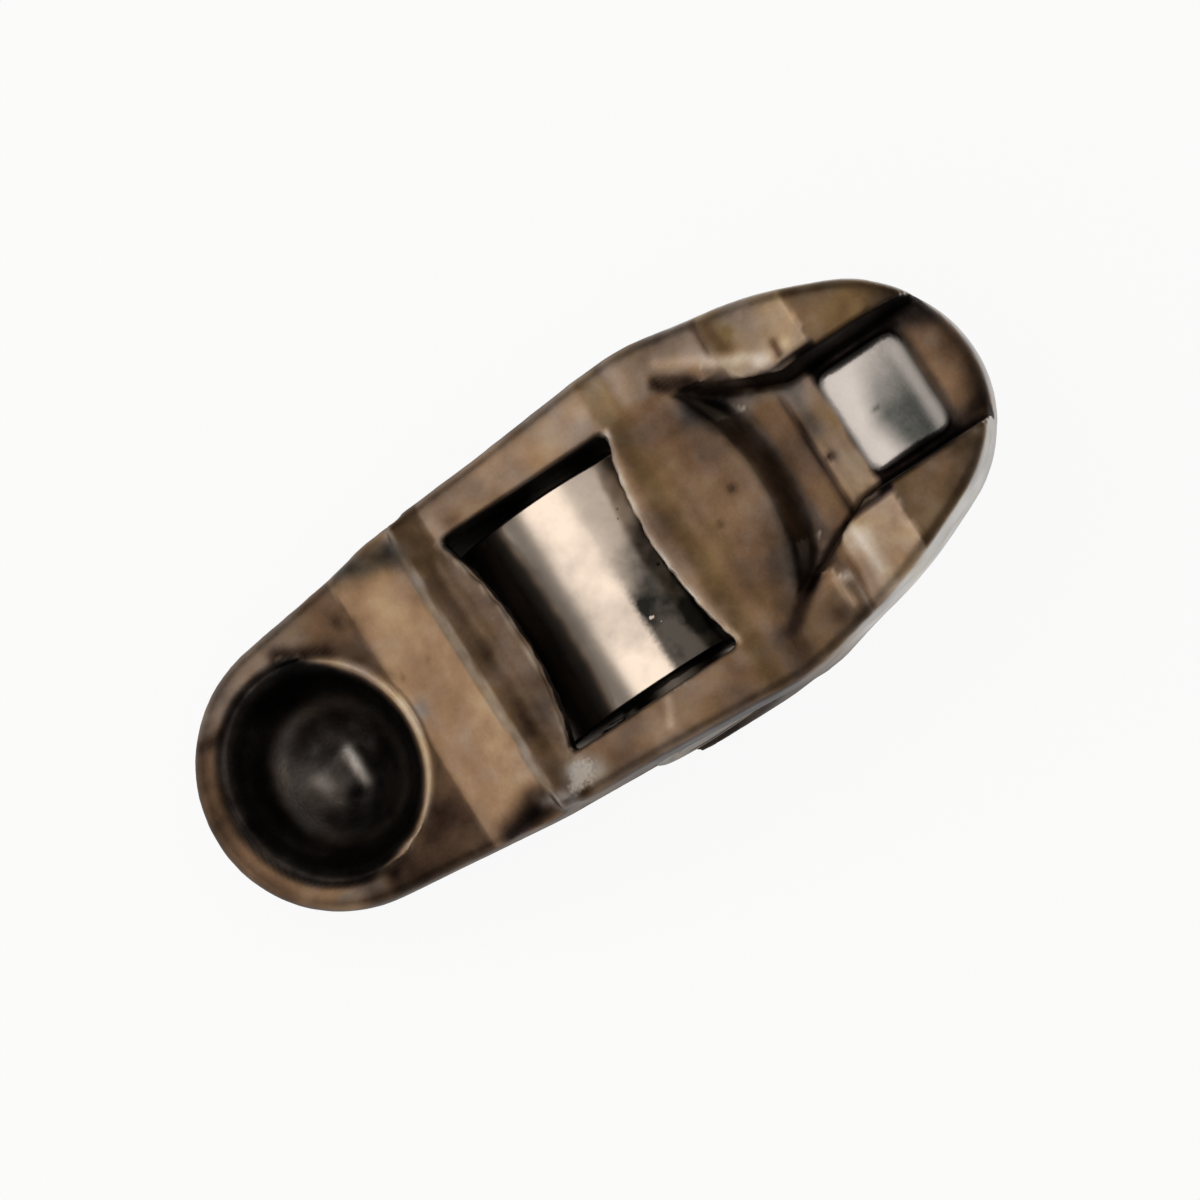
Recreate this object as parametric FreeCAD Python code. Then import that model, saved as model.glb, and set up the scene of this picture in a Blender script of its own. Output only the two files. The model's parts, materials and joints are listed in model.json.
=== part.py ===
"""A roller finger follower: the rocker arm of an overhead-cam engine.

One stamped arm, an axle staked in its two ears, a roller ring and its full
complement of needle rollers.  Every piece is modelled in the lever frame: X
runs along the arm from the ball socket to the valve pad, Z points out of the
underside, and the belly plane around the roller window is Z = 0.  The pieces
are then turned together to the way the follower lies on a bench: on its roller
and on the rim of its pivot end, underside up.
"""

import FreeCAD, Part
import math
import os

V = FreeCAD.Vector

# Driving dimensions, millimetres

# Roller, needles and axle
ROLLER_DIAMETER = 16.0
ROLLER_WIDTH = 12.4
NEEDLE_DIAMETER = 1.6
NEEDLE_COUNT = 18
NEEDLE_GAP = 0.03
RUNNING_CLEARANCE = 0.012
NEEDLE_END_GAP = 0.08
ROLLER_CHAMFER = 0.2

# Lever geometry
PIVOT_TO_ROLLER = 18.7
PIVOT_TO_PAD = 37.45
ROLLER_TOP_DEPTH = 1.65
SHEET = 2.3
WALL = 2.3
ROLLER_SIDE_GAP = 0.8

# Plan outline of the arm
PIVOT_END_CENTRE = 0.7
PIVOT_END_TAPER = 1.14
HIP_MARGIN = 0.14
SHOULDER_MARGIN = 1.3
WAIST_DROP = 0.18
CHEEK_TAPER = 1.6
VALVE_END_TAPER = 2.8
VALVE_END_OVERHANG = 5.7
HIP_BEFORE_WINDOW = 3.3
HIP_RADIUS = 10.0
WAIST_BEFORE_AXLE = 1.9
WAIST_RADIUS = 30.0
SHOULDER_PAST_WINDOW = 2.6
SHOULDER_RADIUS = 12.0
CHEEK_BEFORE_END = 9.0
CHEEK_RADIUS = 25.0
DRAFT_INSET = 0.9
TOP_EDGE_RADIUS = 0.9

# Heights along the underside
LAND_DEPTH = 1.75
RIDGE_HEIGHT = 0.3
VALLEY_DEPTH = 0.3
TONGUE_HEIGHT = 0.45
FACET_HEIGHT = 0.1
CREST_HEIGHT = 1.3
CREST_FALL = 2.0
CREST_FALL_LENGTH = 3.4
CREST_LEAD = 0.45
CREST_RISE_LENGTH = 4.3
FLOOR_DEPTH = 2.6
STEP_HEIGHT = 0.45
STEP_LENGTH = 2.1
RIDGE_BEFORE_WINDOW = 1.8
VALLEY_PAST_WINDOW = 1.2
VALLEY_LENGTH = 2.2
BEND_PAST_CUP = 0.4
FOLD_RADIUS = 1.2
SOFT_FOLD_RADIUS = 1.5
PRESSED_RADIUS = 2.5

# Depths of the hidden side
PIVOT_RIM_DEPTH = 9.2
VALVE_RIM_DEPTH = 7.0
EAR_WALL = 1.85
EAR_LENGTH_BEYOND_AXLE = 6.2
EAR_FRONT_SLOPE = 2.4
EAR_BACK_SLOPE = 5.0
EAR_NOSE_FLATTENING = 0.4
EAR_FOOT_RADIUS = 4.0
DOME_THINNING = 0.1
HOLLOW_BEND_SHIFT = 0.6
HOLLOW_BEFORE_WINDOW = 1.4
HOLLOW_PAST_WINDOW = 3.4
HOLLOW_FALL_LENGTH = 3.0

# Ball socket
CUP_RADIUS = 5.5
CUP_CENTRE_RISE = 0.3
CUP_STRETCH = (0.95, 1.06, 1.0)
LIP_GROWTH = 0.45
LIP_DEPTH = 0.8
DIMPLE_RADIUS = 3.0
DIMPLE_DEPTH = 0.25

# Roller window
WINDOW_BEFORE_AXLE = 6.1
WINDOW_PAST_AXLE = 5.05
WINDOW_BULGE = 1.15

# Valve pad
PAD_LENGTH = 5.5
PAD_WIDTH = 6.3
PAD_CORNER = 1.1
PAD_CROWN_RADIUS = 13.0
PAD_PROUD = 0.5
CHANNEL_SIDE_GAP = 1.05
CHANNEL_TAPER = 0.55
FLOOR_FILLET = 0.7
VALVE_EDGE_RADIUS = 1.4
TONGUE_HALF_WIDTH = 7.2
TONGUE_TAPER = 1.6
TONGUE_CORNER = 2.0
TONGUE_ROOT = 0.6
CHANNEL_PAST_WINDOW = 5.5
FLARE_SWEEP = 2.5
FLARE_MARGIN = 0.4
FLARE_DRAFT = 3.0
THROAT_BEFORE_PAD = 0.9
THROAT_OPENING = 0.1
CHANNEL_ENTRY_LENGTH = 2.5
CHANNEL_ENTRY_BOW = 0.6
OPEN_END_LIFT = 0.6

# Ears, axle ends and small marks of the outline
EAR_PAD_OFFSET = -2.5
EAR_PAD_LENGTH = 8.7
EAR_PAD_TOP = 5.0
EAR_PAD_CORNER = 2.2
EAR_PAD_MARGIN = 0.9
EAR_PAD_PROUD = 0.5
EAR_PAD_ROUNDING = 0.7
SPOT_FACE_MARGIN = 0.5
AXLE_PROUD = 0.15
AXLE_CHAMFER = 0.35
STAKE_RING_RADIUS = 2.7
STAKE_RING_TUBE = 0.3
NEEDLE_EDGE = 0.2
RELIEF_LENGTH = 3.4
RELIEF_TILT = 38
RELIEF_REACH = 1.9
RELIEF_SPAN = 8.0
RELIEF_SINK = 0.15
RELIEF_BEFORE_WINDOW = 2.2
NOTCH_RADIUS = 0.7
NOTCH_DEPTH = 0.28
NOTCH_BEFORE_WINDOW = 1.6

# Working allowances: pieces overlap or overrun each other by these before they are joined or cut
TOUCH = 0.01
SAME_POINT = 1e-6
OVERLAP = 0.1
OVERRUN = 1.0
UPRIGHT_LENGTH = 3.0
BIG = 60.0

# Places and sizes that follow

axle_radius = (NEEDLE_DIAMETER + NEEDLE_GAP) / (2 * math.sin(math.pi / NEEDLE_COUNT))
axle_radius -= NEEDLE_DIAMETER / 2 + RUNNING_CLEARANCE
pitch_radius = axle_radius + RUNNING_CLEARANCE + NEEDLE_DIAMETER / 2
ring_bore_radius = pitch_radius + NEEDLE_DIAMETER / 2 + RUNNING_CLEARANCE
roller_radius = ROLLER_DIAMETER / 2
axle_depth = ROLLER_TOP_DEPTH + roller_radius
inner_half = ROLLER_WIDTH / 2 + ROLLER_SIDE_GAP
ear_face = inner_half + WALL
hip_half_width = ear_face + HIP_MARGIN
shoulder_half_width = ear_face + SHOULDER_MARGIN
pivot_end_radius = hip_half_width - PIVOT_END_TAPER
valve_end_radius = shoulder_half_width - VALVE_END_TAPER
valve_end = PIVOT_TO_PAD + VALVE_END_OVERHANG
window_start = PIVOT_TO_ROLLER - WINDOW_BEFORE_AXLE
window_end = PIVOT_TO_ROLLER + WINDOW_PAST_AXLE
pivot_end = PIVOT_END_CENTRE - pivot_end_radius
pad_start = PIVOT_TO_PAD - PAD_LENGTH / 2
channel_half = PAD_WIDTH / 2 + CHANNEL_SIDE_GAP
ear_depth = axle_depth + axle_radius + EAR_WALL
floor_underside = FLOOR_DEPTH + SHEET
bend = CUP_RADIUS + BEND_PAST_CUP
bend_line = LAND_DEPTH + SOFT_FOLD_RADIUS
cup_centre = -LAND_DEPTH + CUP_CENTRE_RISE
channel_start = window_end + CHANNEL_PAST_WINDOW
channel_mouth = channel_start - FLARE_SWEEP
step_start = pad_start - STEP_LENGTH
valley = window_end + VALLEY_PAST_WINDOW
platform_level = STEP_HEIGHT - FLOOR_DEPTH


def rounded_face(corners, place):
    """A flat face from (a, b, radius) corners, each rounded by a tangent arc; place(a, b) gives the point."""
    count = len(corners)
    edges = []
    ends = []
    for i in range(count):
        a = V(corners[i - 1][0], corners[i - 1][1], 0)
        b = V(corners[i][0], corners[i][1], 0)
        c = V(corners[(i + 1) % count][0], corners[(i + 1) % count][1], 0)
        radius = corners[i][2]
        if radius <= 0:
            ends.append((b, b, b))
            continue
        to_a = (a - b).normalize()
        to_c = (c - b).normalize()
        half = to_a.getAngle(to_c) / 2
        reach = radius / math.tan(half)
        middle = (to_a + to_c).normalize() * (radius / math.sin(half) - radius)
        ends.append((b + to_a * reach, b + middle, b + to_c * reach))
    for i in range(count):
        start, middle, end = (place(p.x, p.y) for p in ends[i])
        following = place(ends[(i + 1) % count][0].x, ends[(i + 1) % count][0].y)
        if start.distanceToPoint(end) > SAME_POINT:
            edges.append(Part.Arc(start, middle, end).toShape())
        if end.distanceToPoint(following) > SAME_POINT:
            edges.append(Part.makeLine(end, following))
    return Part.Face(Part.Wire(edges))


def side_prism(corners, half_width):
    """A solid with the given side view (X, Z, radius), spanning Y = +-half_width."""
    face = rounded_face(corners, lambda x, z: V(x, -half_width, z))
    return face.extrude(V(0, 2 * half_width, 0))


def plan_prism(corners, bottom, top):
    """A solid with the given plan view (X, Y, radius) between two heights."""
    face = rounded_face(corners, lambda x, y: V(x, y, bottom))
    return face.extrude(V(0, 0, top - bottom))


def box(x0, x1, half_width, z0, z1):
    """A box centred on the lever's plane of symmetry."""
    return Part.makeBox(x1 - x0, 2 * half_width, z1 - z0, V(x0, -half_width, z0))


def tangent_corner(end, centre, radius, neighbour):
    """The corner on the line X = end where a full round of that radius meets the flank to a neighbour."""
    dx = abs(neighbour[0] - centre)
    along = math.copysign(1.0, neighbour[0] - centre) * math.copysign(1.0, centre - end)
    reach = math.hypot(dx, neighbour[1])
    slope = math.atan2(neighbour[1], along * dx) - math.asin(radius / reach)
    return (end, neighbour[1] - abs(neighbour[0] - end) * math.tan(slope), radius)


def outline_corners():
    """The plan outline as corners with tangent arcs, counted anticlockwise from the pivot end."""
    hip = (window_start - HIP_BEFORE_WINDOW, hip_half_width, HIP_RADIUS)
    waist_half_width = (hip_half_width + shoulder_half_width) / 2 - WAIST_DROP
    waist = (PIVOT_TO_ROLLER - WAIST_BEFORE_AXLE, waist_half_width, WAIST_RADIUS)
    shoulder = (window_end + SHOULDER_PAST_WINDOW, shoulder_half_width, SHOULDER_RADIUS)
    cheek = (valve_end - CHEEK_BEFORE_END, shoulder_half_width - CHEEK_TAPER, CHEEK_RADIUS)
    pivot = tangent_corner(pivot_end, PIVOT_END_CENTRE, pivot_end_radius, hip)
    valve = tangent_corner(valve_end, valve_end - valve_end_radius, valve_end_radius, cheek)
    half = [pivot, hip, waist, shoulder, cheek, valve]
    return [(x, -y, r) for x, y, r in half] + list(reversed(half))


def inset_corners(corners, distance):
    """The same convex outline moved inwards by a distance, its arcs keeping their centres."""
    moved = []
    count = len(corners)
    for i in range(count):
        a = V(corners[i - 1][0], corners[i - 1][1], 0)
        b = V(corners[i][0], corners[i][1], 0)
        c = V(corners[(i + 1) % count][0], corners[(i + 1) % count][1], 0)
        into = (b - a).normalize()
        out = (c - b).normalize()
        bisector = (V(-into.y, into.x, 0) + V(-out.y, out.x, 0)).normalize()
        shift = bisector * (distance / bisector.dot(V(-into.y, into.x, 0)))
        moved.append((b.x + shift.x, b.y + shift.y, corners[i][2] - distance))
    return moved


def outline_face(inset, height):
    """The arm's outline as a flat face at a height, moved inwards by inset."""
    corners = inset_corners(outline_corners(), inset) if inset else outline_corners()
    return rounded_face(corners, lambda x, y: V(x, y, height))


def side_view():
    """The arm's side view: the underside along the crests, then the rim of the walls."""
    ridge = window_start - RIDGE_BEFORE_WINDOW
    crest = pad_start + CREST_LEAD
    low_end = CREST_HEIGHT - CREST_FALL
    ear_front = PIVOT_TO_ROLLER - axle_radius - EAR_WALL
    ear_back = PIVOT_TO_ROLLER + EAR_LENGTH_BEYOND_AXLE
    return [
        (-BIG, -LAND_DEPTH, 0),
        (bend, -LAND_DEPTH, SOFT_FOLD_RADIUS),
        (ridge, RIDGE_HEIGHT, FOLD_RADIUS),
        (window_start, 0, SOFT_FOLD_RADIUS),
        (window_end, 0, FOLD_RADIUS),
        (valley, -VALLEY_DEPTH, FOLD_RADIUS),
        (valley + VALLEY_LENGTH, 0, PRESSED_RADIUS),
        (crest - CREST_RISE_LENGTH, FACET_HEIGHT, PRESSED_RADIUS),
        (crest, CREST_HEIGHT, PRESSED_RADIUS),
        (valve_end - CREST_FALL_LENGTH, CREST_HEIGHT, PRESSED_RADIUS),
        (valve_end + OVERRUN, low_end, 0),
        (BIG, low_end, 0),
        (BIG, -VALVE_RIM_DEPTH, 0),
        (ear_back + EAR_BACK_SLOPE, -VALVE_RIM_DEPTH, EAR_FOOT_RADIUS),
        (ear_back, -ear_depth, PRESSED_RADIUS),
        (ear_front, -ear_depth, axle_radius + EAR_WALL - EAR_NOSE_FLATTENING),
        (ear_front - EAR_FRONT_SLOPE, -PIVOT_RIM_DEPTH, PRESSED_RADIUS),
        (-BIG, -PIVOT_RIM_DEPTH, 0),
    ]


def cavity():
    """The hollow of the hidden side, one sheet thickness below the underside."""
    fall = window_end + HOLLOW_PAST_WINDOW
    ceiling = [
        (-BIG, -LAND_DEPTH - SHEET, 0),
        (bend + HOLLOW_BEND_SHIFT, -LAND_DEPTH - SHEET, SOFT_FOLD_RADIUS),
        (window_start - HOLLOW_BEFORE_WINDOW, -SHEET, SOFT_FOLD_RADIUS),
        (fall, -SHEET, SOFT_FOLD_RADIUS),
        (fall + HOLLOW_FALL_LENGTH, -floor_underside, SOFT_FOLD_RADIUS),
        (BIG, -floor_underside, 0),
        (BIG, -BIG, 0),
        (-BIG, -BIG, 0),
    ]
    plan = outline_face(WALL, -BIG / 2).extrude(V(0, 0, BIG))
    between_ears = box(-BIG, BIG, inner_half, -BIG, BIG)
    return side_prism(ceiling, BIG / 2).common(plan).common(between_ears)


def upper_edges(solid):
    """The edges where a solid's top meets its upright outer side."""
    found = []
    for edge in solid.Edges:
        middle = edge.valueAt((edge.FirstParameter + edge.LastParameter) / 2)
        crosses = edge.BoundBox.YLength > CUP_RADIUS and edge.BoundBox.XLength < TOUCH
        upright = edge.BoundBox.ZLength > UPRIGHT_LENGTH
        if middle.z > TOUCH - bend_line and not crosses and not upright:
            found.append(edge)
    return found


def blank():
    """The solid volume of the arm: straight and round-edged above the bend line, drafted below it."""
    side = side_prism(side_view(), BIG / 2)
    upper = outline_face(0, -bend_line).extrude(V(0, 0, bend_line + BIG / 2)).common(side)
    upper = upper.makeFillet(TOP_EDGE_RADIUS, upper_edges(upper))
    skirt_top = outline_face(0, -bend_line).OuterWire
    skirt_rim = outline_face(DRAFT_INSET, -ear_depth).OuterWire
    skirt = Part.makeLoft([skirt_top, skirt_rim], True, True)
    return upper.fuse(skirt.common(side)).removeSplitter()


def dome():
    """The back of the ball socket, standing in the hollow like a bowl upside down."""
    ball = Part.makeSphere(CUP_RADIUS + SHEET - DOME_THINNING, V(0, 0, cup_centre))
    below = outline_face(0, -BIG).extrude(V(0, 0, BIG - LAND_DEPTH - SHEET / 2))
    return ball.common(below)


def ellipse(half_x, half_y, height):
    """A closed ellipse, longer across the arm, round the socket's axis."""
    curve = Part.Ellipse(V(0, half_y, height), V(half_x, 0, height), V(0, 0, height))
    return Part.Wire([curve.toShape()])


def socket_cut():
    """The spherical cup, slightly oval, with its flared lip and the small dimple at its bottom."""
    stretch = FreeCAD.Matrix()
    stretch.scale(V(*CUP_STRETCH))
    stretch.move(V(0, 0, cup_centre))
    cup = Part.makeSphere(CUP_RADIUS).transformGeometry(stretch)
    level = CUP_CENTRE_RISE + LIP_DEPTH
    narrow = CUP_RADIUS * math.sqrt(1 - (level / CUP_RADIUS) ** 2)
    half_x = narrow * CUP_STRETCH[0]
    half_y = narrow * CUP_STRETCH[1]
    mouth = ellipse(half_x + LIP_GROWTH, half_y + LIP_GROWTH, TOUCH - LAND_DEPTH)
    throat = ellipse(half_x, half_y, -LAND_DEPTH - LIP_DEPTH)
    lip = Part.makeLoft([throat, mouth], True, True)
    dimple = Part.makeSphere(DIMPLE_RADIUS, V(0, 0, cup_centre - CUP_RADIUS - DIMPLE_DEPTH + DIMPLE_RADIUS))
    return cup.fuse(lip).fuse(dimple)


def tongue():
    """The ramp between the window and the pad's channel, a little above the facets beside it."""
    root = valley - TONGUE_ROOT
    tip = channel_start + TONGUE_ROOT
    corners = [
        (root, -SHEET, 0),
        (root, -VALLEY_DEPTH - TOUCH, 0),
        (valley, -VALLEY_DEPTH, SOFT_FOLD_RADIUS),
        (tip, TONGUE_HEIGHT, 0),
        (tip, -SHEET, 0),
    ]
    tip_half_width = TONGUE_HALF_WIDTH - TONGUE_TAPER
    plan = [
        (root - OVERRUN, -TONGUE_HALF_WIDTH, 0),
        (channel_mouth, -TONGUE_HALF_WIDTH, TONGUE_CORNER),
        (tip + OVERRUN, -tip_half_width, 0),
        (tip + OVERRUN, tip_half_width, 0),
        (channel_mouth, TONGUE_HALF_WIDTH, TONGUE_CORNER),
        (root - OVERRUN, TONGUE_HALF_WIDTH, 0),
    ]
    return side_prism(corners, TONGUE_HALF_WIDTH).common(plan_prism(plan, -BIG, BIG))


def channel_wire(inset, shift, height):
    """The plan of the pad's channel: a curved end, then two flared walls that turn parallel."""
    throat = pad_start - THROAT_BEFORE_PAD
    half = channel_half - inset
    flare = TONGUE_HALF_WIDTH + FLARE_MARGIN - FLARE_DRAFT * inset
    points = [
        V(channel_mouth + shift, flare, height),
        V(throat, half + THROAT_OPENING, height),
        V(BIG, half, height),
        V(BIG, -half, height),
        V(throat, -half - THROAT_OPENING, height),
        V(channel_mouth + shift, -flare, height),
    ]
    edges = [Part.makeLine(a, b) for a, b in zip(points, points[1:])]
    bow = V(channel_start + shift * CHANNEL_ENTRY_BOW, 0, height)
    edges.append(Part.Arc(points[-1], bow, points[0]).toShape())
    return Part.Wire(edges)


def channel_cut():
    """The channel between the guide walls, narrower at its floor, with rounded floor corners."""
    low = -FLOOR_DEPTH
    lower = channel_wire(CHANNEL_TAPER, CHANNEL_ENTRY_LENGTH, low)
    upper = channel_wire(0, 0, CREST_HEIGHT + OVERRUN / 2)
    cutter = Part.makeLoft([lower, upper], True, True)
    floor_edges = [e for e in cutter.Edges if e.BoundBox.ZMax < low + TOUCH and e.BoundBox.XMin < BIG - TOUCH]
    cutter = cutter.makeFillet(FLOOR_FILLET, floor_edges)
    past_pad = PIVOT_TO_PAD + PAD_LENGTH / 2 - OVERRUN
    open_half = channel_half - CHANNEL_TAPER - TOUCH
    open_end = box(past_pad, BIG, open_half, OPEN_END_LIFT - floor_underside, CREST_HEIGHT)
    return cutter.fuse(open_end)


def platform():
    """The strip that carries the pad: a short ramp, then level out to the rounded valve end."""
    base = TOUCH - floor_underside
    strip = outline_face(0, base).extrude(V(0, 0, platform_level - base))
    upper = [e for e in strip.Edges if e.BoundBox.ZMin > platform_level - TOUCH]
    strip = strip.makeFillet(VALVE_EDGE_RADIUS, upper)
    ramp = [
        (step_start, -floor_underside, 0),
        (step_start, -FLOOR_DEPTH - OVERLAP, 0),
        (pad_start - OVERLAP, platform_level, FOLD_RADIUS),
        (BIG, platform_level + TOUCH, 0),
        (BIG, -floor_underside, 0),
    ]
    return strip.common(side_prism(ramp, channel_half + OVERLAP))


def pad():
    """The ground valve pad: a rounded oblong with a crown along the arm."""
    base = -FLOOR_DEPTH - OVERLAP
    top = platform_level + PAD_PROUD
    half_x = PAD_LENGTH / 2
    half_y = PAD_WIDTH / 2
    plan = [
        (PIVOT_TO_PAD - half_x, -half_y, PAD_CORNER),
        (PIVOT_TO_PAD + half_x, -half_y, PAD_CORNER),
        (PIVOT_TO_PAD + half_x, half_y, PAD_CORNER),
        (PIVOT_TO_PAD - half_x, half_y, PAD_CORNER),
    ]
    block = plan_prism(plan, base, top + OVERRUN)
    centre = V(PIVOT_TO_PAD, -BIG / 2, top - PAD_CROWN_RADIUS)
    crown = Part.makeCylinder(PAD_CROWN_RADIUS, BIG, centre, V(0, 1, 0))
    return block.common(crown)


def window_cut():
    """The roller window: square corners, straight sides, ends that bulge towards the roller."""
    low = -SHEET - OVERRUN
    corners = [
        V(window_start, -inner_half, low),
        V(window_end, -inner_half, low),
        V(window_end, inner_half, low),
        V(window_start, inner_half, low),
    ]
    edges = [
        Part.makeLine(corners[0], corners[1]),
        Part.Arc(corners[1], V(window_end - WINDOW_BULGE, 0, low), corners[2]).toShape(),
        Part.makeLine(corners[2], corners[3]),
        Part.Arc(corners[3], V(window_start + WINDOW_BULGE, 0, low), corners[0]).toShape(),
    ]
    return Part.Face(Part.Wire(edges)).extrude(V(0, 0, SHEET + 2 * OVERRUN))


def ear_pad(side):
    """The raised pad on the outside of one ear, behind the axle."""
    x0 = PIVOT_TO_ROLLER + EAR_PAD_OFFSET
    x1 = x0 + EAR_PAD_LENGTH
    corners = [
        (x0, -EAR_PAD_TOP, EAR_PAD_CORNER),
        (x0, EAR_PAD_MARGIN - ear_depth, EAR_PAD_CORNER),
        (x1, EAR_PAD_MARGIN - ear_depth, EAR_PAD_CORNER),
        (x1, -EAR_PAD_TOP, EAR_PAD_CORNER),
    ]
    inner = (inner_half + ear_face) / 2
    outer = ear_face + EAR_PAD_PROUD
    face = rounded_face(corners, lambda x, z: V(x, inner, z))
    block = face.extrude(V(0, outer - inner, 0))
    rim = [e for e in block.Edges if e.BoundBox.YMin > outer - TOUCH]
    block = block.makeFillet(EAR_PAD_PROUD * EAR_PAD_ROUNDING, rim)
    return block if side > 0 else block.mirror(V(0, 0, 0), V(0, 1, 0))


def axle_cylinder(radius, y0, y1):
    """A cylinder on the axle's line between two places across the arm."""
    return Part.makeCylinder(radius, y1 - y0, V(PIVOT_TO_ROLLER, y0, -axle_depth), V(0, 1, 0))


def corner_relief(side):
    """The small triangular hollow where the ramp meets the side, cut by a tilted block."""
    block = Part.makeBox(RELIEF_LENGTH, RELIEF_SPAN, RELIEF_SPAN, V(0, 0, 0))
    block.rotate(V(0, 0, 0), V(1, 0, 0), -RELIEF_TILT)
    start = window_start - RELIEF_BEFORE_WINDOW - RELIEF_LENGTH
    block.translate(V(start, hip_half_width - RELIEF_REACH, RIDGE_HEIGHT - RELIEF_SINK))
    if side < 0:
        block = block.mirror(V(0, 0, 0), V(0, 1, 0))
    return block


def hip_notch(side):
    """The shallow upright nick in the outline where the ramp ends."""
    aside = hip_half_width + OVERLAP + NOTCH_RADIUS - NOTCH_DEPTH
    centre = V(window_start - NOTCH_BEFORE_WINDOW, side * aside, -BIG)
    return Part.makeCylinder(NOTCH_RADIUS, 2 * BIG, centre)


def arm():
    """The stamped one-piece arm."""
    shape = blank().cut(cavity())
    shape = shape.fuse(dome()).fuse(tongue())
    shape = shape.cut(channel_cut()).fuse(platform()).fuse(pad())
    shape = shape.fuse(ear_pad(1)).fuse(ear_pad(-1))
    cuts = [socket_cut(), window_cut(), axle_cylinder(axle_radius, -BIG / 2, BIG / 2)]
    for side in (1, -1):
        face = axle_cylinder(axle_radius + SPOT_FACE_MARGIN, ear_face, BIG / 2)
        cuts.append(face if side > 0 else face.mirror(V(0, 0, 0), V(0, 1, 0)))
        cuts.append(corner_relief(side))
        cuts.append(hip_notch(side))
    for cut in cuts:
        shape = shape.cut(cut)
    return shape.removeSplitter().Solids[0]


def axle():
    """The axle, its two ends chamfered and peened by a ring-shaped punch."""
    half = ear_face + AXLE_PROUD
    pin = axle_cylinder(axle_radius, -half, half)
    ends = [e for e in pin.Edges if e.BoundBox.YLength < TOUCH]
    pin = pin.makeChamfer(AXLE_CHAMFER, ends)
    for side in (-1, 1):
        centre = V(PIVOT_TO_ROLLER, side * half, -axle_depth)
        pin = pin.cut(Part.makeTorus(STAKE_RING_RADIUS, STAKE_RING_TUBE, centre, V(0, 1, 0)))
    return pin


def roller():
    """The roller ring with its outer and inner edges broken."""
    half = ROLLER_WIDTH / 2
    ring = axle_cylinder(roller_radius, -half, half).cut(axle_cylinder(ring_bore_radius, -half, half))
    outer = [e for e in ring.Edges if e.BoundBox.YLength < TOUCH and e.Curve.Radius > ring_bore_radius + OVERLAP]
    inner = [e for e in ring.Edges if e.BoundBox.YLength < TOUCH and e.Curve.Radius < ring_bore_radius + OVERLAP]
    return ring.makeFillet(ROLLER_CHAMFER, outer).makeChamfer(ROLLER_CHAMFER / 2, inner)


def needle(index):
    """One needle roller of the full complement, with rounded ends."""
    half = ROLLER_WIDTH / 2 - NEEDLE_END_GAP
    angle = 2 * math.pi * index / NEEDLE_COUNT
    x = PIVOT_TO_ROLLER + pitch_radius * math.cos(angle)
    z = -axle_depth + pitch_radius * math.sin(angle)
    pin = Part.makeCylinder(NEEDLE_DIAMETER / 2, 2 * half, V(x, -half, z), V(0, 1, 0))
    return pin.makeFillet(NEEDLE_EDGE, [e for e in pin.Edges if e.BoundBox.YLength < TOUCH])


def rest_pitch():
    """The angle the lever turns through until the roller and the rim of its pivot end share one plane."""
    drop = (PIVOT_RIM_DEPTH - bend_line) / (ear_depth - bend_line)
    rim_x = pivot_end + DRAFT_INSET * drop
    run = PIVOT_TO_ROLLER - rim_x
    rise = PIVOT_RIM_DEPTH - axle_depth
    return math.degrees(math.asin(roller_radius / math.hypot(run, rise)) - math.atan2(rise, run))


def main():
    """Build every piece, turn them to the resting attitude and write one file a piece."""
    pieces = {"arm": arm(), "axle": axle(), "roller": roller()}
    for index in range(NEEDLE_COUNT):
        pieces["needle_%02d" % (index + 1)] = needle(index)
    pitch = rest_pitch()
    turned = {name: shape.copy() for name, shape in pieces.items()}
    for shape in turned.values():
        shape.rotate(V(0, 0, 0), V(0, 1, 0), -pitch)
    bounds = Part.makeCompound([turned["arm"], turned["roller"]]).optimalBoundingBox()
    shift = V(-(bounds.XMin + bounds.XMax) / 2, 0, -bounds.ZMin)
    os.makedirs("parts", exist_ok=True)
    for name, shape in turned.items():
        shape.translate(shift)
        shape.exportStep("parts/%s.step" % name)
        if not name.startswith("needle") or name == "needle_01":
            print(name, shape.ShapeType, shape.isValid(), "%.1f mm3" % shape.Volume, len(shape.Faces), "faces")
    print("pitch %.2f degrees, shift %.3f %.3f" % (pitch, shift.x, shift.z))
    print("axle radius %.3f, bore radius %.3f" % (axle_radius, ring_bore_radius))


if __name__ == "__main__":
    main()
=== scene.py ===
"""Dresses a roller finger follower, the rocker arm of an overhead-cam engine.

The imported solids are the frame.  The stamped arm gets a worn, softened skin, the
roller ring and the axle are turned anew with their real surfaces, and the needle
rollers keep their solids.  The follower lies underside up on a pale bench.
"""

import json
import logging
import math
from dataclasses import dataclass
from enum import Enum

import bmesh
import bpy
import numpy as np
from mathutils import Matrix, Vector, noise


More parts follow.
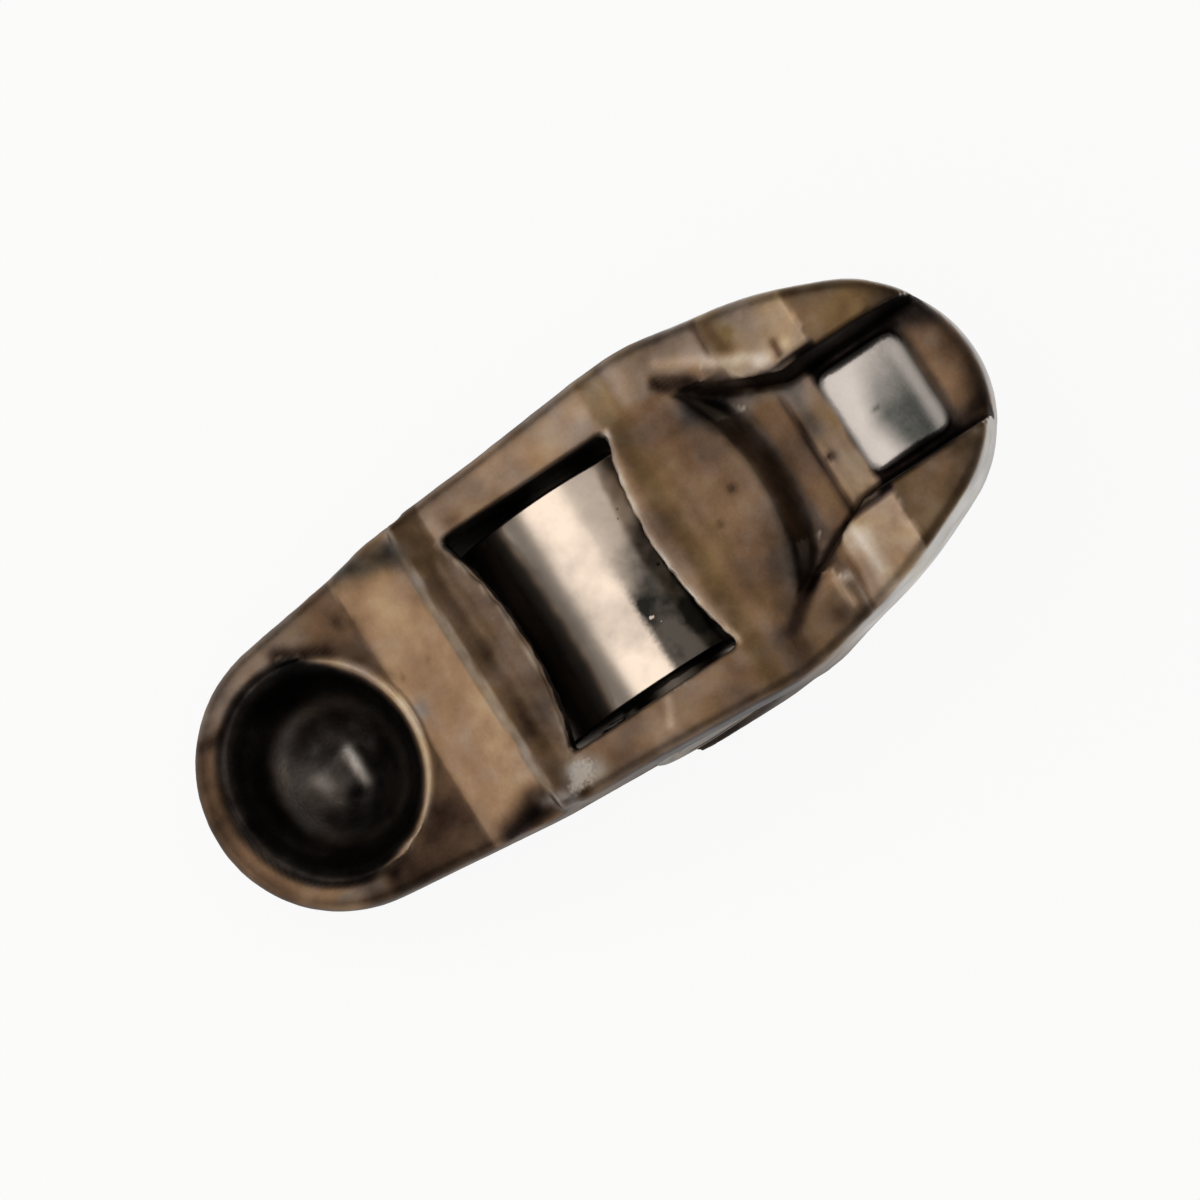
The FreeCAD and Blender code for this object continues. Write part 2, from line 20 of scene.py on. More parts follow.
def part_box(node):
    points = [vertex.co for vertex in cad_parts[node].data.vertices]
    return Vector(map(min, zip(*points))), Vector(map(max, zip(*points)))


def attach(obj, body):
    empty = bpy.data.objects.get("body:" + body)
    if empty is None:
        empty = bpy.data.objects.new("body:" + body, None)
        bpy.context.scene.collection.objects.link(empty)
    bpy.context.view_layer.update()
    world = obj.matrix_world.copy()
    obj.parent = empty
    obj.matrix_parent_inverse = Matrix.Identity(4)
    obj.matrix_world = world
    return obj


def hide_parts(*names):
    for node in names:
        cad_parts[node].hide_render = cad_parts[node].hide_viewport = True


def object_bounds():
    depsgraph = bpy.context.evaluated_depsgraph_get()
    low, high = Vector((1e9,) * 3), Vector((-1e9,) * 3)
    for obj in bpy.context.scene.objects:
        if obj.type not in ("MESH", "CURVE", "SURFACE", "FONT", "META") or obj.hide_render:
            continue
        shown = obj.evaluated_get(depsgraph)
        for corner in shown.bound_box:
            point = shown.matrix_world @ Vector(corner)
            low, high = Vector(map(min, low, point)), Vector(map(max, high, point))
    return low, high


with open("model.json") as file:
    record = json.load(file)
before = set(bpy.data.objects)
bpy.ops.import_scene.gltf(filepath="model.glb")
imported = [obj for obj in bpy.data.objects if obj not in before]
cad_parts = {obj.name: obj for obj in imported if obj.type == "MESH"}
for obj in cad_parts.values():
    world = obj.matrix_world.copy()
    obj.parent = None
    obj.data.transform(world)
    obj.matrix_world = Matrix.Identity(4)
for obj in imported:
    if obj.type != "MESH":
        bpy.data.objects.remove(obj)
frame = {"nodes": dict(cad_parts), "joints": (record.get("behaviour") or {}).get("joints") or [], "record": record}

CAD_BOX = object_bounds()
MM = 0.001
log = logging.getLogger("follower")

Mesh = bpy.types.Mesh
Piece = bpy.types.Object
Socket = bpy.types.NodeSocket
Tree = bpy.types.NodeTree
Pair = tuple[float, float]


# Small helpers


def linear(hex_colour: str) -> tuple[float, float, float, float]:
    """Turns an sRGB hex value into a linear colour.

    Args:
        hex_colour: Six hex digits, such as "A07D5A".

    Returns:
        Linear red, green, blue and an alpha of 1.
    """
    parts = [int(hex_colour[i : i + 2], 16) / 255 for i in (0, 2, 4)]
    flat = [p / 12.92 if p <= 0.04045 else ((p + 0.055) / 1.055) ** 2.4 for p in parts]
    return (*flat, 1.0)


def add(tree: Tree, kind: str, inputs: dict | None = None, **settings) -> bpy.types.Node:
    """Adds a shader node, sets it and links or fills its inputs.

    Args:
        tree: The node tree of a material or world.
        kind: The node's type without the word ShaderNode.
        inputs: Socket name or number to a value or to an output socket.
        settings: Properties of the node itself.

    Returns:
        The new node.
    """
    node = tree.nodes.new("ShaderNode" + kind)
    for name, value in settings.items():
        setattr(node, name, value)
    for key, value in (inputs or {}).items():
        socket = node.inputs[key]
        if isinstance(value, Socket):
            tree.links.new(value, socket)
        else:
            socket.default_value = value
    return node


def ramp_step(values: np.ndarray, start: float, end: float) -> np.ndarray:
    """Rises smoothly from 0 at start to 1 at end, for a whole array."""
    t = np.clip((values - start) / (end - start), 0.0, 1.0)
    return t * t * (3.0 - 2.0 * t)


def bell(values: np.ndarray, centre: float, reach: float) -> np.ndarray:
    """Falls smoothly from 1 at the centre towards 0 beyond its reach, for a whole array."""
    return np.exp(-(((values - centre) / reach) ** 2))


def noise_field(points: np.ndarray, size_mm: float, seed: float) -> np.ndarray:
    """Smooth noise between about -1 and 1 at every point.

    Args:
        points: Places in millimetres, one row each.
        size_mm: The length of one wave of the noise.
        seed: A shift that makes one field differ from another.

    Returns:
        One value a point.
    """
    shift = Vector((seed, seed * 0.37, -seed * 0.61))
    scaled = points / size_mm
    return np.array([noise.noise(Vector(p) + shift) for p in scaled.tolist()])


class LeverFrame:
    """The arm's own axes, in millimetres.

    u runs along the arm from the ball socket, y across it and w out of its underside.
    """

    # The part's own sizes, which tie these axes to the roller's
    PIVOT_TO_ROLLER = 18.7
    AXLE_DEPTH = 9.65

    def __init__(self, record: dict, joints: list) -> None:
        """Reads the arm's slope from a mount and its place from the roller's axis.

        Args:
            record: The frame's record, with its mounts.
            joints: The frame's joints.
        """
        mount = next(m for m in record["mounts"] if m["name"] == "valve_pad")
        self.pitch = math.atan2(-mount["axis"][0], mount["axis"][2])
        self.cos, self.sin = math.cos(self.pitch), math.sin(self.pitch)
        axis = next(j for j in joints if j["name"] == "roller_spin")["pos_m"]
        u, w = self.PIVOT_TO_ROLLER, -self.AXLE_DEPTH
        shift_x = axis[0] / MM - (u * self.cos - w * self.sin)
        shift_z = axis[2] / MM - (u * self.sin + w * self.cos)
        self.shift = np.array([shift_x, 0.0, shift_z])
        self.axis = Vector(axis)

    def turn_from_world(self, vectors: np.ndarray) -> np.ndarray:
        """Directions in the world's axes to the lever's axes, one row each."""
        x, y, z = vectors.T
        return np.stack([x * self.cos + z * self.sin, y, z * self.cos - x * self.sin], 1)

    def from_world(self, points: np.ndarray) -> np.ndarray:
        """World metres to lever millimetres, one row a point."""
        return self.turn_from_world(points / MM - self.shift)

    def turn_to_world(self, vectors: np.ndarray) -> np.ndarray:
        """Directions or offsets in the lever's axes to the world's axes, one row each."""
        u, y, w = vectors.T
        return np.stack([u * self.cos - w * self.sin, y, u * self.sin + w * self.cos], 1)

    def to_world(self, place: tuple[float, float, float]) -> Vector:
        """One place in lever millimetres to world metres."""
        return Vector((self.turn_to_world(np.array([place]))[0] + self.shift) * MM)

    def mapping(self, tree: Tree) -> Socket:
        """Object coordinates of a material turned to the lever's axes in millimetres.

        Args:
            tree: The material's node tree.

        Returns:
            The socket that carries u, y and w.
        """
        place = self.turn_from_world(-self.shift[None])[0].tolist()
        source = add(tree, "TexCoord").outputs["Object"]
        sizes = {"Vector": source, "Location": place, "Rotation": (0, self.pitch, 0), "Scale": (1 / MM,) * 3}
        return add(tree, "Mapping", sizes, vector_type="POINT").outputs[0]


LEVER = LeverFrame(frame["record"], frame["joints"])


class Slot(Enum):
    """The record's material slots."""

    ARM = "arm_steel"
    AXLE = "axle_steel"
    ROLLER = "roller_steel"
    NEEDLE = "needle_steel"


# Finishes


BUMP_STRENGTH = 0.4
SMOOTH = {"interpolation_type": "SMOOTHSTEP"}
COLOURS = {"data_type": "RGBA"}


def new_material(name: str) -> tuple[bpy.types.Material, Tree]:
    """Makes an empty node material.

    Args:
        name: The finish's common name.

    Returns:
        The material and its node tree.
    """
    made = bpy.data.materials.new(name)
    made.use_nodes = True
    made.node_tree.nodes.clear()
    return made, made.node_tree


def uneven(value: Socket, *shares: tuple[Socket, float]) -> Socket:
    """Adds noises that are centred on 0.5 to a value.

    Args:
        value: The even value.
        shares: Each noise and how much of it is added.

    Returns:
        The socket of the uneven value.
    """
    tree = value.id_data
    for pattern, amount in shares:
        centred = add(tree, "Math", {0: pattern, 1: -0.5}, operation="ADD").outputs[0]
        value = add(tree, "Math", {0: centred, 1: amount, 2: value}, operation="MULTIPLY_ADD").outputs[0]
    return value


def metal(
    tree: Tree, colour: Socket, rough: Socket, height: Socket, depth_mm: float, bare: object = 1.0
) -> None:
    """Ends a tree in a metal surface with a fine relief.

    Args:
        tree: The material's node tree.
        colour: The surface's colour.
        rough: Its roughness.
        height: The relief, from 0 to 1.
        depth_mm: How deep the relief is.
        bare: 1 where the metal is bare and 0 under thick grime and painted shade.
    """
    bump = add(tree, "Bump", {"Height": height, "Strength": BUMP_STRENGTH, "Distance": depth_mm * MM})
    inputs = {"Base Color": colour, "Metallic": bare, "Roughness": rough, "Normal": bump.outputs[0]}
    shader = add(tree, "BsdfPrincipled", inputs)
    tree.links.new(shader.outputs[0], add(tree, "OutputMaterial").inputs[0])


@dataclass(frozen=True)
class StampedArmSteel:
    """Case-hardened sheet steel, stamped and coined, heat-tinted brown and stained by hot oil.

    A pattern is the length of its wave in millimetres and its detail.  The stamping leaves the grain,
    which is drawn coarser than it is so that it shows.  The painted tones carry painted light and shade
    too: facets lit and shaded, painted highlights, and painted shade in hollows and creases.
    """

    name: str = "case_hardened_stamped_steel"
    tones: tuple[str, ...] = (
        "050404",
        "1B1310",
        "34271F",
        "4D3C2F",
        "67503E",
        "806750",
        "997C62",
        "B09678",
        "C8B196",
        "DCCBB8",
        "F0E8DE",
    )
    olive: str = "E8F0B8"
    bare: str = "B4ACA3"
    # The colour of the grime and of the painted shade in hollows and creases
    grime_and_shade: str = "120C0A"
    ground: str = "AFA9A5"
    # The colour of the pad's painted dark reflection
    pad_dark_reflection: str = "333735"
    blotch: Pair = (3.6, 2.0)
    hue: Pair = (2.4, 3.0)
    mottle: Pair = (1.1, 3.0)
    grain: Pair = (0.2, 2.0)
    blotch_share: float = 0.42
    mottle_share: float = 0.2
    grain_share: float = 0.05
    hue_share: float = 0.8
    grey_share: float = 0.3
    greying: float = 0.9
    dark_reflection_and_pit_shares: Pair = (0.25, 0.08)
    torn_share: float = 0.5
    torn_border: Pair = (0.4, 0.75)
    grime_and_shade_share: float = 0.7
    grime_and_shade_border: Pair = (0.35, 0.8)
    roughness: Pair = (0.38, 0.6)
    soot_border: Pair = (0.04, 0.22)
    soot_roughness: float = 0.62
    torn_roughness: float = 0.62
    ground_roughness: float = 0.3
    oil_roughness: float = 0.32
    relief_mm: float = 0.02

    def material(self) -> bpy.types.Material:
        """Builds the node material from the painted wear, the painted light and shade, and the procedural
        stains.

        Returns:
            The material.
        """
        made, tree = new_material(self.name)
        place = LEVER.mapping(tree)
        # The tone carries painted light and shade besides the tint; the grime channel carries painted shade in
        # hollows too
        tone, grime_and_shade, worn = self.channels(tree, "patina_and_painted_light")
        # The second finish channel carries the pad's painted dark reflection and its pit
        ground, dark_reflection_and_pit, socket = self.channels(tree, "finish")
        olive, grey, _ = self.channels(tree, "tint")
        blotch, hue, mottle, grain = (
            add(tree, "TexNoise", {"Vector": place, "Scale": 1 / size, "Detail": detail}).outputs[0]
            for size, detail in (self.blotch, self.hue, self.mottle, self.grain)
        )
        stains = (blotch, self.blotch_share), (mottle, self.mottle_share), (grain, self.grain_share)
        stained = uneven(tone, *stains)
        colour = self.browned(stained)
        grey = uneven(grey, (hue, -self.hue_share), (mottle, self.grey_share))
        grey = add(tree, "Clamp", {0: grey}).outputs[0]
        left = add(tree, "Math", {0: grey, 1: -self.greying, 2: 1.0}, operation="MULTIPLY_ADD").outputs[0]
        colour = add(tree, "HueSaturation", {"Saturation": left, "Color": colour}).outputs[0]
        olive = add(tree, "Clamp", {0: uneven(olive, (hue, self.hue_share))}).outputs[0]
        tinted = {0: olive, 6: colour, 7: linear(self.olive)}
        colour = add(tree, "Mix", tinted, blend_type="MULTIPLY", **COLOURS).outputs[2]

        dark_reflection_and_pit = uneven(dark_reflection_and_pit, *zip((mottle, grain), self.dark_reflection_and_pit_shares))
        dark_reflection_and_pit = add(tree, "Clamp", {0: dark_reflection_and_pit}).outputs[0]
        pad = {0: dark_reflection_and_pit, 6: linear(self.ground), 7: linear(self.pad_dark_reflection)}
        pad = add(tree, "Mix", pad, **COLOURS).outputs[2]
        worn = uneven(worn, (mottle, self.torn_share), (grain, self.torn_share))
        grime_and_shade = uneven(grime_and_shade, (mottle, self.grime_and_shade_share))
        # Torn bare steel, and grime with painted shade darkening the hollows
        torn, dirty_and_shaded, brown = (
            add(tree, "MapRange", {0: value, 1: low, 2: high}, **SMOOTH).outputs[0]
            for value, (low, high) in (
                (worn, self.torn_border),
                (grime_and_shade, self.grime_and_shade_border),
                (stained, self.soot_border),
            )
        )
        for cover, over in ((ground, pad), (torn, linear(self.bare)), (dirty_and_shaded, linear(self.grime_and_shade))):
            colour = add(tree, "Mix", {0: cover, 6: colour, 7: over}, **COLOURS).outputs[2]

        smooth, rough = self.roughness
        rough = add(tree, "MapRange", {0: mottle, 3: smooth, 4: rough}).outputs[0]
        rough = add(tree, "Mix", {0: brown, 2: self.soot_roughness, 3: rough}).outputs[0]
        films = (torn, self.torn_roughness), (ground, self.ground_roughness), (socket, self.oil_roughness)
        for cover, over in films:
            rough = add(tree, "Mix", {0: cover, 2: rough, 3: over}).outputs[0]
        clean_and_unshaded = add(tree, "Math", {0: 1.0, 1: dirty_and_shaded}, operation="SUBTRACT").outputs[0]
        relief = add(tree, "Math", {0: mottle, 1: 2.0, 2: grain}, operation="MULTIPLY_ADD").outputs[0]
        metal(tree, colour, rough, relief, self.relief_mm, clean_and_unshaded)
        return made

    def browned(self, tone: Socket) -> Socket:
        """Turns a tone into its brown on the steel's scale.

        Args:
            tone: From 0, soot, to 1, bare and bright.

        Returns:
            The socket of the colour.
        """
        ramp = add(tone.id_data, "ValToRGB", {0: tone})
        stops = ramp.color_ramp.elements
        for k, colour in enumerate(self.tones[1:-1], start=1):
            stops.new(k / (len(self.tones) - 1)).color = linear(colour)
        stops[0].color = linear(self.tones[0])
        stops[-1].color = linear(self.tones[-1])
        return ramp.outputs[0]

    @staticmethod
    def channels(tree: Tree, name: str) -> tuple[Socket, ...]:
        """The three painted values that a colour attribute carries."""
        painted = add(tree, "Attribute", attribute_name=name).outputs["Color"]
        return tuple(add(tree, "SeparateColor", {0: painted}).outputs)


@dataclass(frozen=True)
class PaintedDarkReflection:
    """Old oil over one quarter of the roller's face, with nicks where it is torn.

    The painted reflection begins at a length along the arm and lies to one side of a line that slants
    across the face.  A fleck is its place (u, y), its reach and how dark it is.
    """

    strength: float = 0.85
    begin: Pair = (19.45, 20.05)
    begin_share: float = 0.3
    slant: float = 1.15
    slant_start: float = -23.5
    border: Pair = (-1.4, 1.8)
    border_share: float = 2.0
    fleck_share: float = 0.5
    fleck_core: float = 0.3
    flecks: tuple[tuple[float, float, float, float], ...] = (
        (21.7, 3.2, 0.1, 1.0),
        (21.5, 2.8, 0.07, 1.0),
        (20.2, -2.9, 0.12, 0.0),
        (20.5, -3.4, 0.08, 0.0),
        (22.0, -0.6, 0.1, 1.0),
    )

    def over(self, place: Socket, stain_and_reflection: Socket, cloud: Socket, grain: Socket) -> Socket:
        """Lays the painted dark reflection and its flecks over the stain.

        Args:
            place: The lever's coordinates.
            stain_and_reflection: How stained the face is without the painted reflection.
            cloud: Coarse noise.
            grain: Fine noise.

        Returns:
            The socket of the darker stain with the painted reflection.
        """
        tree = place.id_data
        u, y, _ = add(tree, "SeparateXYZ", {0: place}).outputs
        from_start = uneven(u, (grain, self.begin_share))
        line = {0: u, 1: self.slant, 2: self.slant_start}
        line = add(tree, "Math", line, operation="MULTIPLY_ADD").outputs[0]
        below = add(tree, "Math", {0: line, 1: y}, operation="SUBTRACT").outputs[0]
        below = uneven(below, (cloud, self.border_share))
        begun, beside = (
            add(tree, "MapRange", {0: value, 1: low, 2: high}, **SMOOTH).outputs[0]
            for value, (low, high) in ((from_start, self.begin), (below, self.border))
        )
        # Painted dark reflection: the face darkens towards the stain colour where it lies
        cover = add(tree, "Math", {0: begun, 1: beside}, operation="MULTIPLY").outputs[0]
        darker = {0: cover, 1: self.strength, 2: stain_and_reflection}
        stain_and_reflection = add(tree, "Math", darker, operation="MULTIPLY_ADD", use_clamp=True).outputs[0]
        flat = add(tree, "CombineXYZ", {0: u, 1: y}).outputs[0]
        # Painted flecks in the reflection, each dark or light
        for at_u, at_y, reach, dark in self.flecks:
            away = {0: flat, 1: (at_u, at_y, 0.0)}
            away = add(tree, "VectorMath", away, operation="DISTANCE").outputs["Value"]
            near = {0: uneven(away, (grain, self.fleck_share)), 1: reach, 2: reach * self.fleck_core}
            mark = add(tree, "MapRange", near, **SMOOTH).outputs[0]
            stain_and_reflection = add(tree, "Mix", {0: mark, 2: stain_and_reflection, 3: dark}).outputs[0]
        return stain_and_reflection


@dataclass(frozen=True)
class RollingSteel:
    """Through-hardened bearing steel, ground and superfinished.

    It is a near mirror with faint lines along its travel.  A pattern is the length of its wave in
    millimetres and its detail.
    """

    name: str
    colour: str
    # The colour of the stains, and of a painted dark reflection where there is one
    stain_and_reflection: str
    roughness: float
    line_mm: float
    line_depth_mm: float
    # A painted dark reflection over part of the face, where one is given
    painted_reflection: PaintedDarkReflection | None = None
    line_length_mm: float = 50 / 3
    cloud: Pair = (20 / 7, 5.0)
    grain: Pair = (0.25, 3.0)
    stain_border: Pair = (0.45, 0.9)
    stain_share: float = 0.5
    uneven_rough: Pair = (0.85, 1.4)

    def material(self) -> bpy.types.Material:
        """Builds the node material with lines that run round the axis.

        Returns:
            The material.
        """
        made, tree = new_material(self.name)
        source = add(tree, "TexCoord").outputs["Object"]
        place = LEVER.mapping(tree)
        cloud, grain = (
            add(tree, "TexNoise", {"Vector": place, "Scale": 1 / size, "Detail": detail}).outputs[0]
            for size, detail in (self.cloud, self.grain)
        )
        waves = [1 / (size * MM) for size in (self.line_length_mm, self.line_mm, self.line_length_mm)]
        drawn_out = add(tree, "Mapping", {"Vector": source, "Scale": waves}).outputs[0]
        lines = add(tree, "TexNoise", {"Vector": drawn_out}).outputs[0]
        low, high = self.stain_border
        stain_and_reflection = add(tree, "MapRange", {0: cloud, 1: low, 2: high, 4: self.stain_share}).outputs[0]
        # Painted dark reflection over one quarter of the face, where one is given
        if self.painted_reflection:
            stain_and_reflection = self.painted_reflection.over(place, stain_and_reflection, cloud, grain)
        mixed = {0: stain_and_reflection, 6: linear(self.colour), 7: linear(self.stain_and_reflection)}
        colour = add(tree, "Mix", mixed, **COLOURS).outputs[2]
        smooth, rough = (self.roughness * share for share in self.uneven_rough)
        rough = add(tree, "MapRange", {0: cloud, 3: smooth, 4: rough}).outputs[0]
        metal(tree, colour, rough, lines, self.line_depth_mm)
        return made


# The roller ring's steel carries a painted dark reflection over one quarter of its face
ROLLER_STEEL = RollingSteel("superfinished_bearing_steel", "CDBFB2", "272725", 0.2, 0.12, 0.003, PaintedDarkReflection())
AXLE_STEEL = RollingSteel("ground_pin_steel", "8E857B", "2B2622", 0.28, 0.2, 0.01)
NEEDLE_STEEL = RollingSteel("ground_needle_steel", "B9B6B0", "4A443D", 0.18, 0.3, 0.004)


# Paint


TINY = 1e-9


@dataclass(frozen=True)
class Patch:
    """A painted tone between two lengths and two sides of the arm's underside, with soft borders."""

    start: float
    end: float
    low: float
    high: float
    tone: float
    soft: float = 0.3
    slant: float = 0.0
    olive: float = 0.0
    grey: float = 0.0

    def mask(self, u: np.ndarray, y: np.ndarray) -> np.ndarray:
        """Works out where the patch lies.

        Args:
            u: Lengths along the arm.
            y: Places across it.

        Returns:
            How much of the patch covers each point.
        """
        s = self.soft
        u = u - self.slant * y
        along = ramp_step(u, self.start - s, self.start + s) * (1 - ramp_step(u, self.end - s, self.end + s))
        across = ramp_step(y, self.low - s, self.low + s) * (1 - ramp_step(y, self.high - s, self.high + s))
        return along * across


@dataclass(frozen=True)
class Mark:
    """A soft painted streak between two places (u, y), or a spot where both are the same."""

    start: Pair
    end: Pair
    reach: float
    tone: float
    strength: float = 0.8
    olive: float = 0.0
    grey: float = 0.0

    def mask(self, u: np.ndarray, y: np.ndarray) -> np.ndarray:
        """Works out where the streak lies.

        Args:
            u: Lengths along the arm.
            y: Places across it.

        Returns:
            How much of the streak covers each point.
        """
        du, dy = self.end[0] - self.start[0], self.end[1] - self.start[1]
        length = max(du * du + dy * dy, TINY)
        t = np.clip(((u - self.start[0]) * du + (y - self.start[1]) * dy) / length, 0, 1)
        away = np.hypot(u - self.start[0] - t * du, y - self.start[1] - t * dy)
        return self.strength * bell(away, 0.0, self.reach)


def spot(u: float, y: float, reach: float, tone: float, strength: float = 0.8, **tint: float) -> Mark:
    """A streak without length."""
    return Mark((u, y), (u, y), reach, tone, strength, **tint)


def lay(paint: np.ndarray, cover: np.ndarray, tone: object, olive: float = 0.0, grey: float = 0.0) -> None:
    """Lays a colour over the paint, in place.

    Args:
        paint: Rows of tone, olive and grey, with a column for each point.
        cover: How much of the colour covers each point.
        tone: Its place on the steel's scale of browns, one value or one for each point.
        olive: How olive it is.
        grey: How grey it is.
    """
    for row, value in zip(paint, (tone, olive, grey)):
        row += (value - row) * cover


# The facets of the underside, later ones laid over earlier ones.  Their tones are the steel's tint
# together with painted light and shade: facets painted lighter or darker as the lamps light them.
FACET_TONES_WITH_PAINTED_LIGHT = (
    Patch(-9.05, 5.74, -11, 11, 0.36, 0.1),
    Patch(-9.05, 5.74, 5, 11, 0.45, 0.6, grey=0.35),
    Patch(-9.05, -1.91, -11, -3.5, 0.44, 0.8),
    Patch(-0.07, 5.74, -11, -6.2, 0.24, 0.5),
    Patch(3.4, 5.74, -11, 11, 0.32, 1.0),
    Patch(2.6, 5.74, -11, -5, 0.24, 0.8),
    Patch(5.84, 10.18, -11, 11, 0.6, 0.12),
    Patch(10.18, 10.73, -11, 11, 0.5, 0.1, grey=0.4, olive=0.3),
    Patch(10.73, 12.51, -11, 11, 0.3, 0.12, olive=0.25),
    Patch(12.4, 14.5, -6.7, 6.7, 0.37, 0.4, grey=0.3),
    Patch(21.9, 23.9, -7.0, 7.0, 0.45, 0.4, grey=0.15),
    Patch(12.51, 23.84, 6.4, 11, 0.53, 0.2, grey=0.15),
    Patch(20.0, 24.2, 7.2, 11, 0.56, 0.5, grey=0.35),
    Patch(12.51, 24.2, -11, -6.4, 0.45, 0.3, grey=0.15),
    Patch(23.8, 25.4, -11, 11, 0.41, 0.5, olive=0.4),
    Patch(23.84, 25.06, 7, 11, 0.52, 0.3, olive=0.3, grey=0.2),
    Patch(25.2, 30.31, -7.6, 7.6, 0.45, 0.5),
    Patch(25.4, 31.05, 7.3, 11, 0.5, 0.45, grey=0.35),
    Patch(25.4, 31.05, -11, -7.3, 0.35, 0.45, olive=0.2, grey=0.15),
    Patch(31.05, 32.68, -4.4, 4.4, 0.4, 0.15),
    Patch(32.88, 34.92, -4.4, 4.4, 0.6, 0.25, olive=0.1, grey=0.2),
    Patch(32.88, 33.9, 0.5, 4.4, 0.44, 0.5, grey=0.6),
    Patch(31.26, 36.16, 4.7, 11, 0.57, 0.15, olive=0.15, grey=0.25),
    Patch(36.16, 44.42, 4.2, 11, 0.38, 0.12, olive=0.35),
    Patch(31.05, 32.42, -11, -4.7, 0.42, 0.15),
    Patch(32.2, 36.1, -11, -4.7, 0.63, 0.2, slant=0.1, grey=0.2),
    Patch(32.9, 33.9, -11, -5.2, 0.7, 0.3, slant=0.1, grey=0.3),
    Patch(36.1, 43.9, -11, -4.2, 0.36, 0.12, slant=0.1, olive=0.3, grey=0.1),
    Patch(40.53, 43.9, -4.2, 4.2, 0.4, 0.2),
)
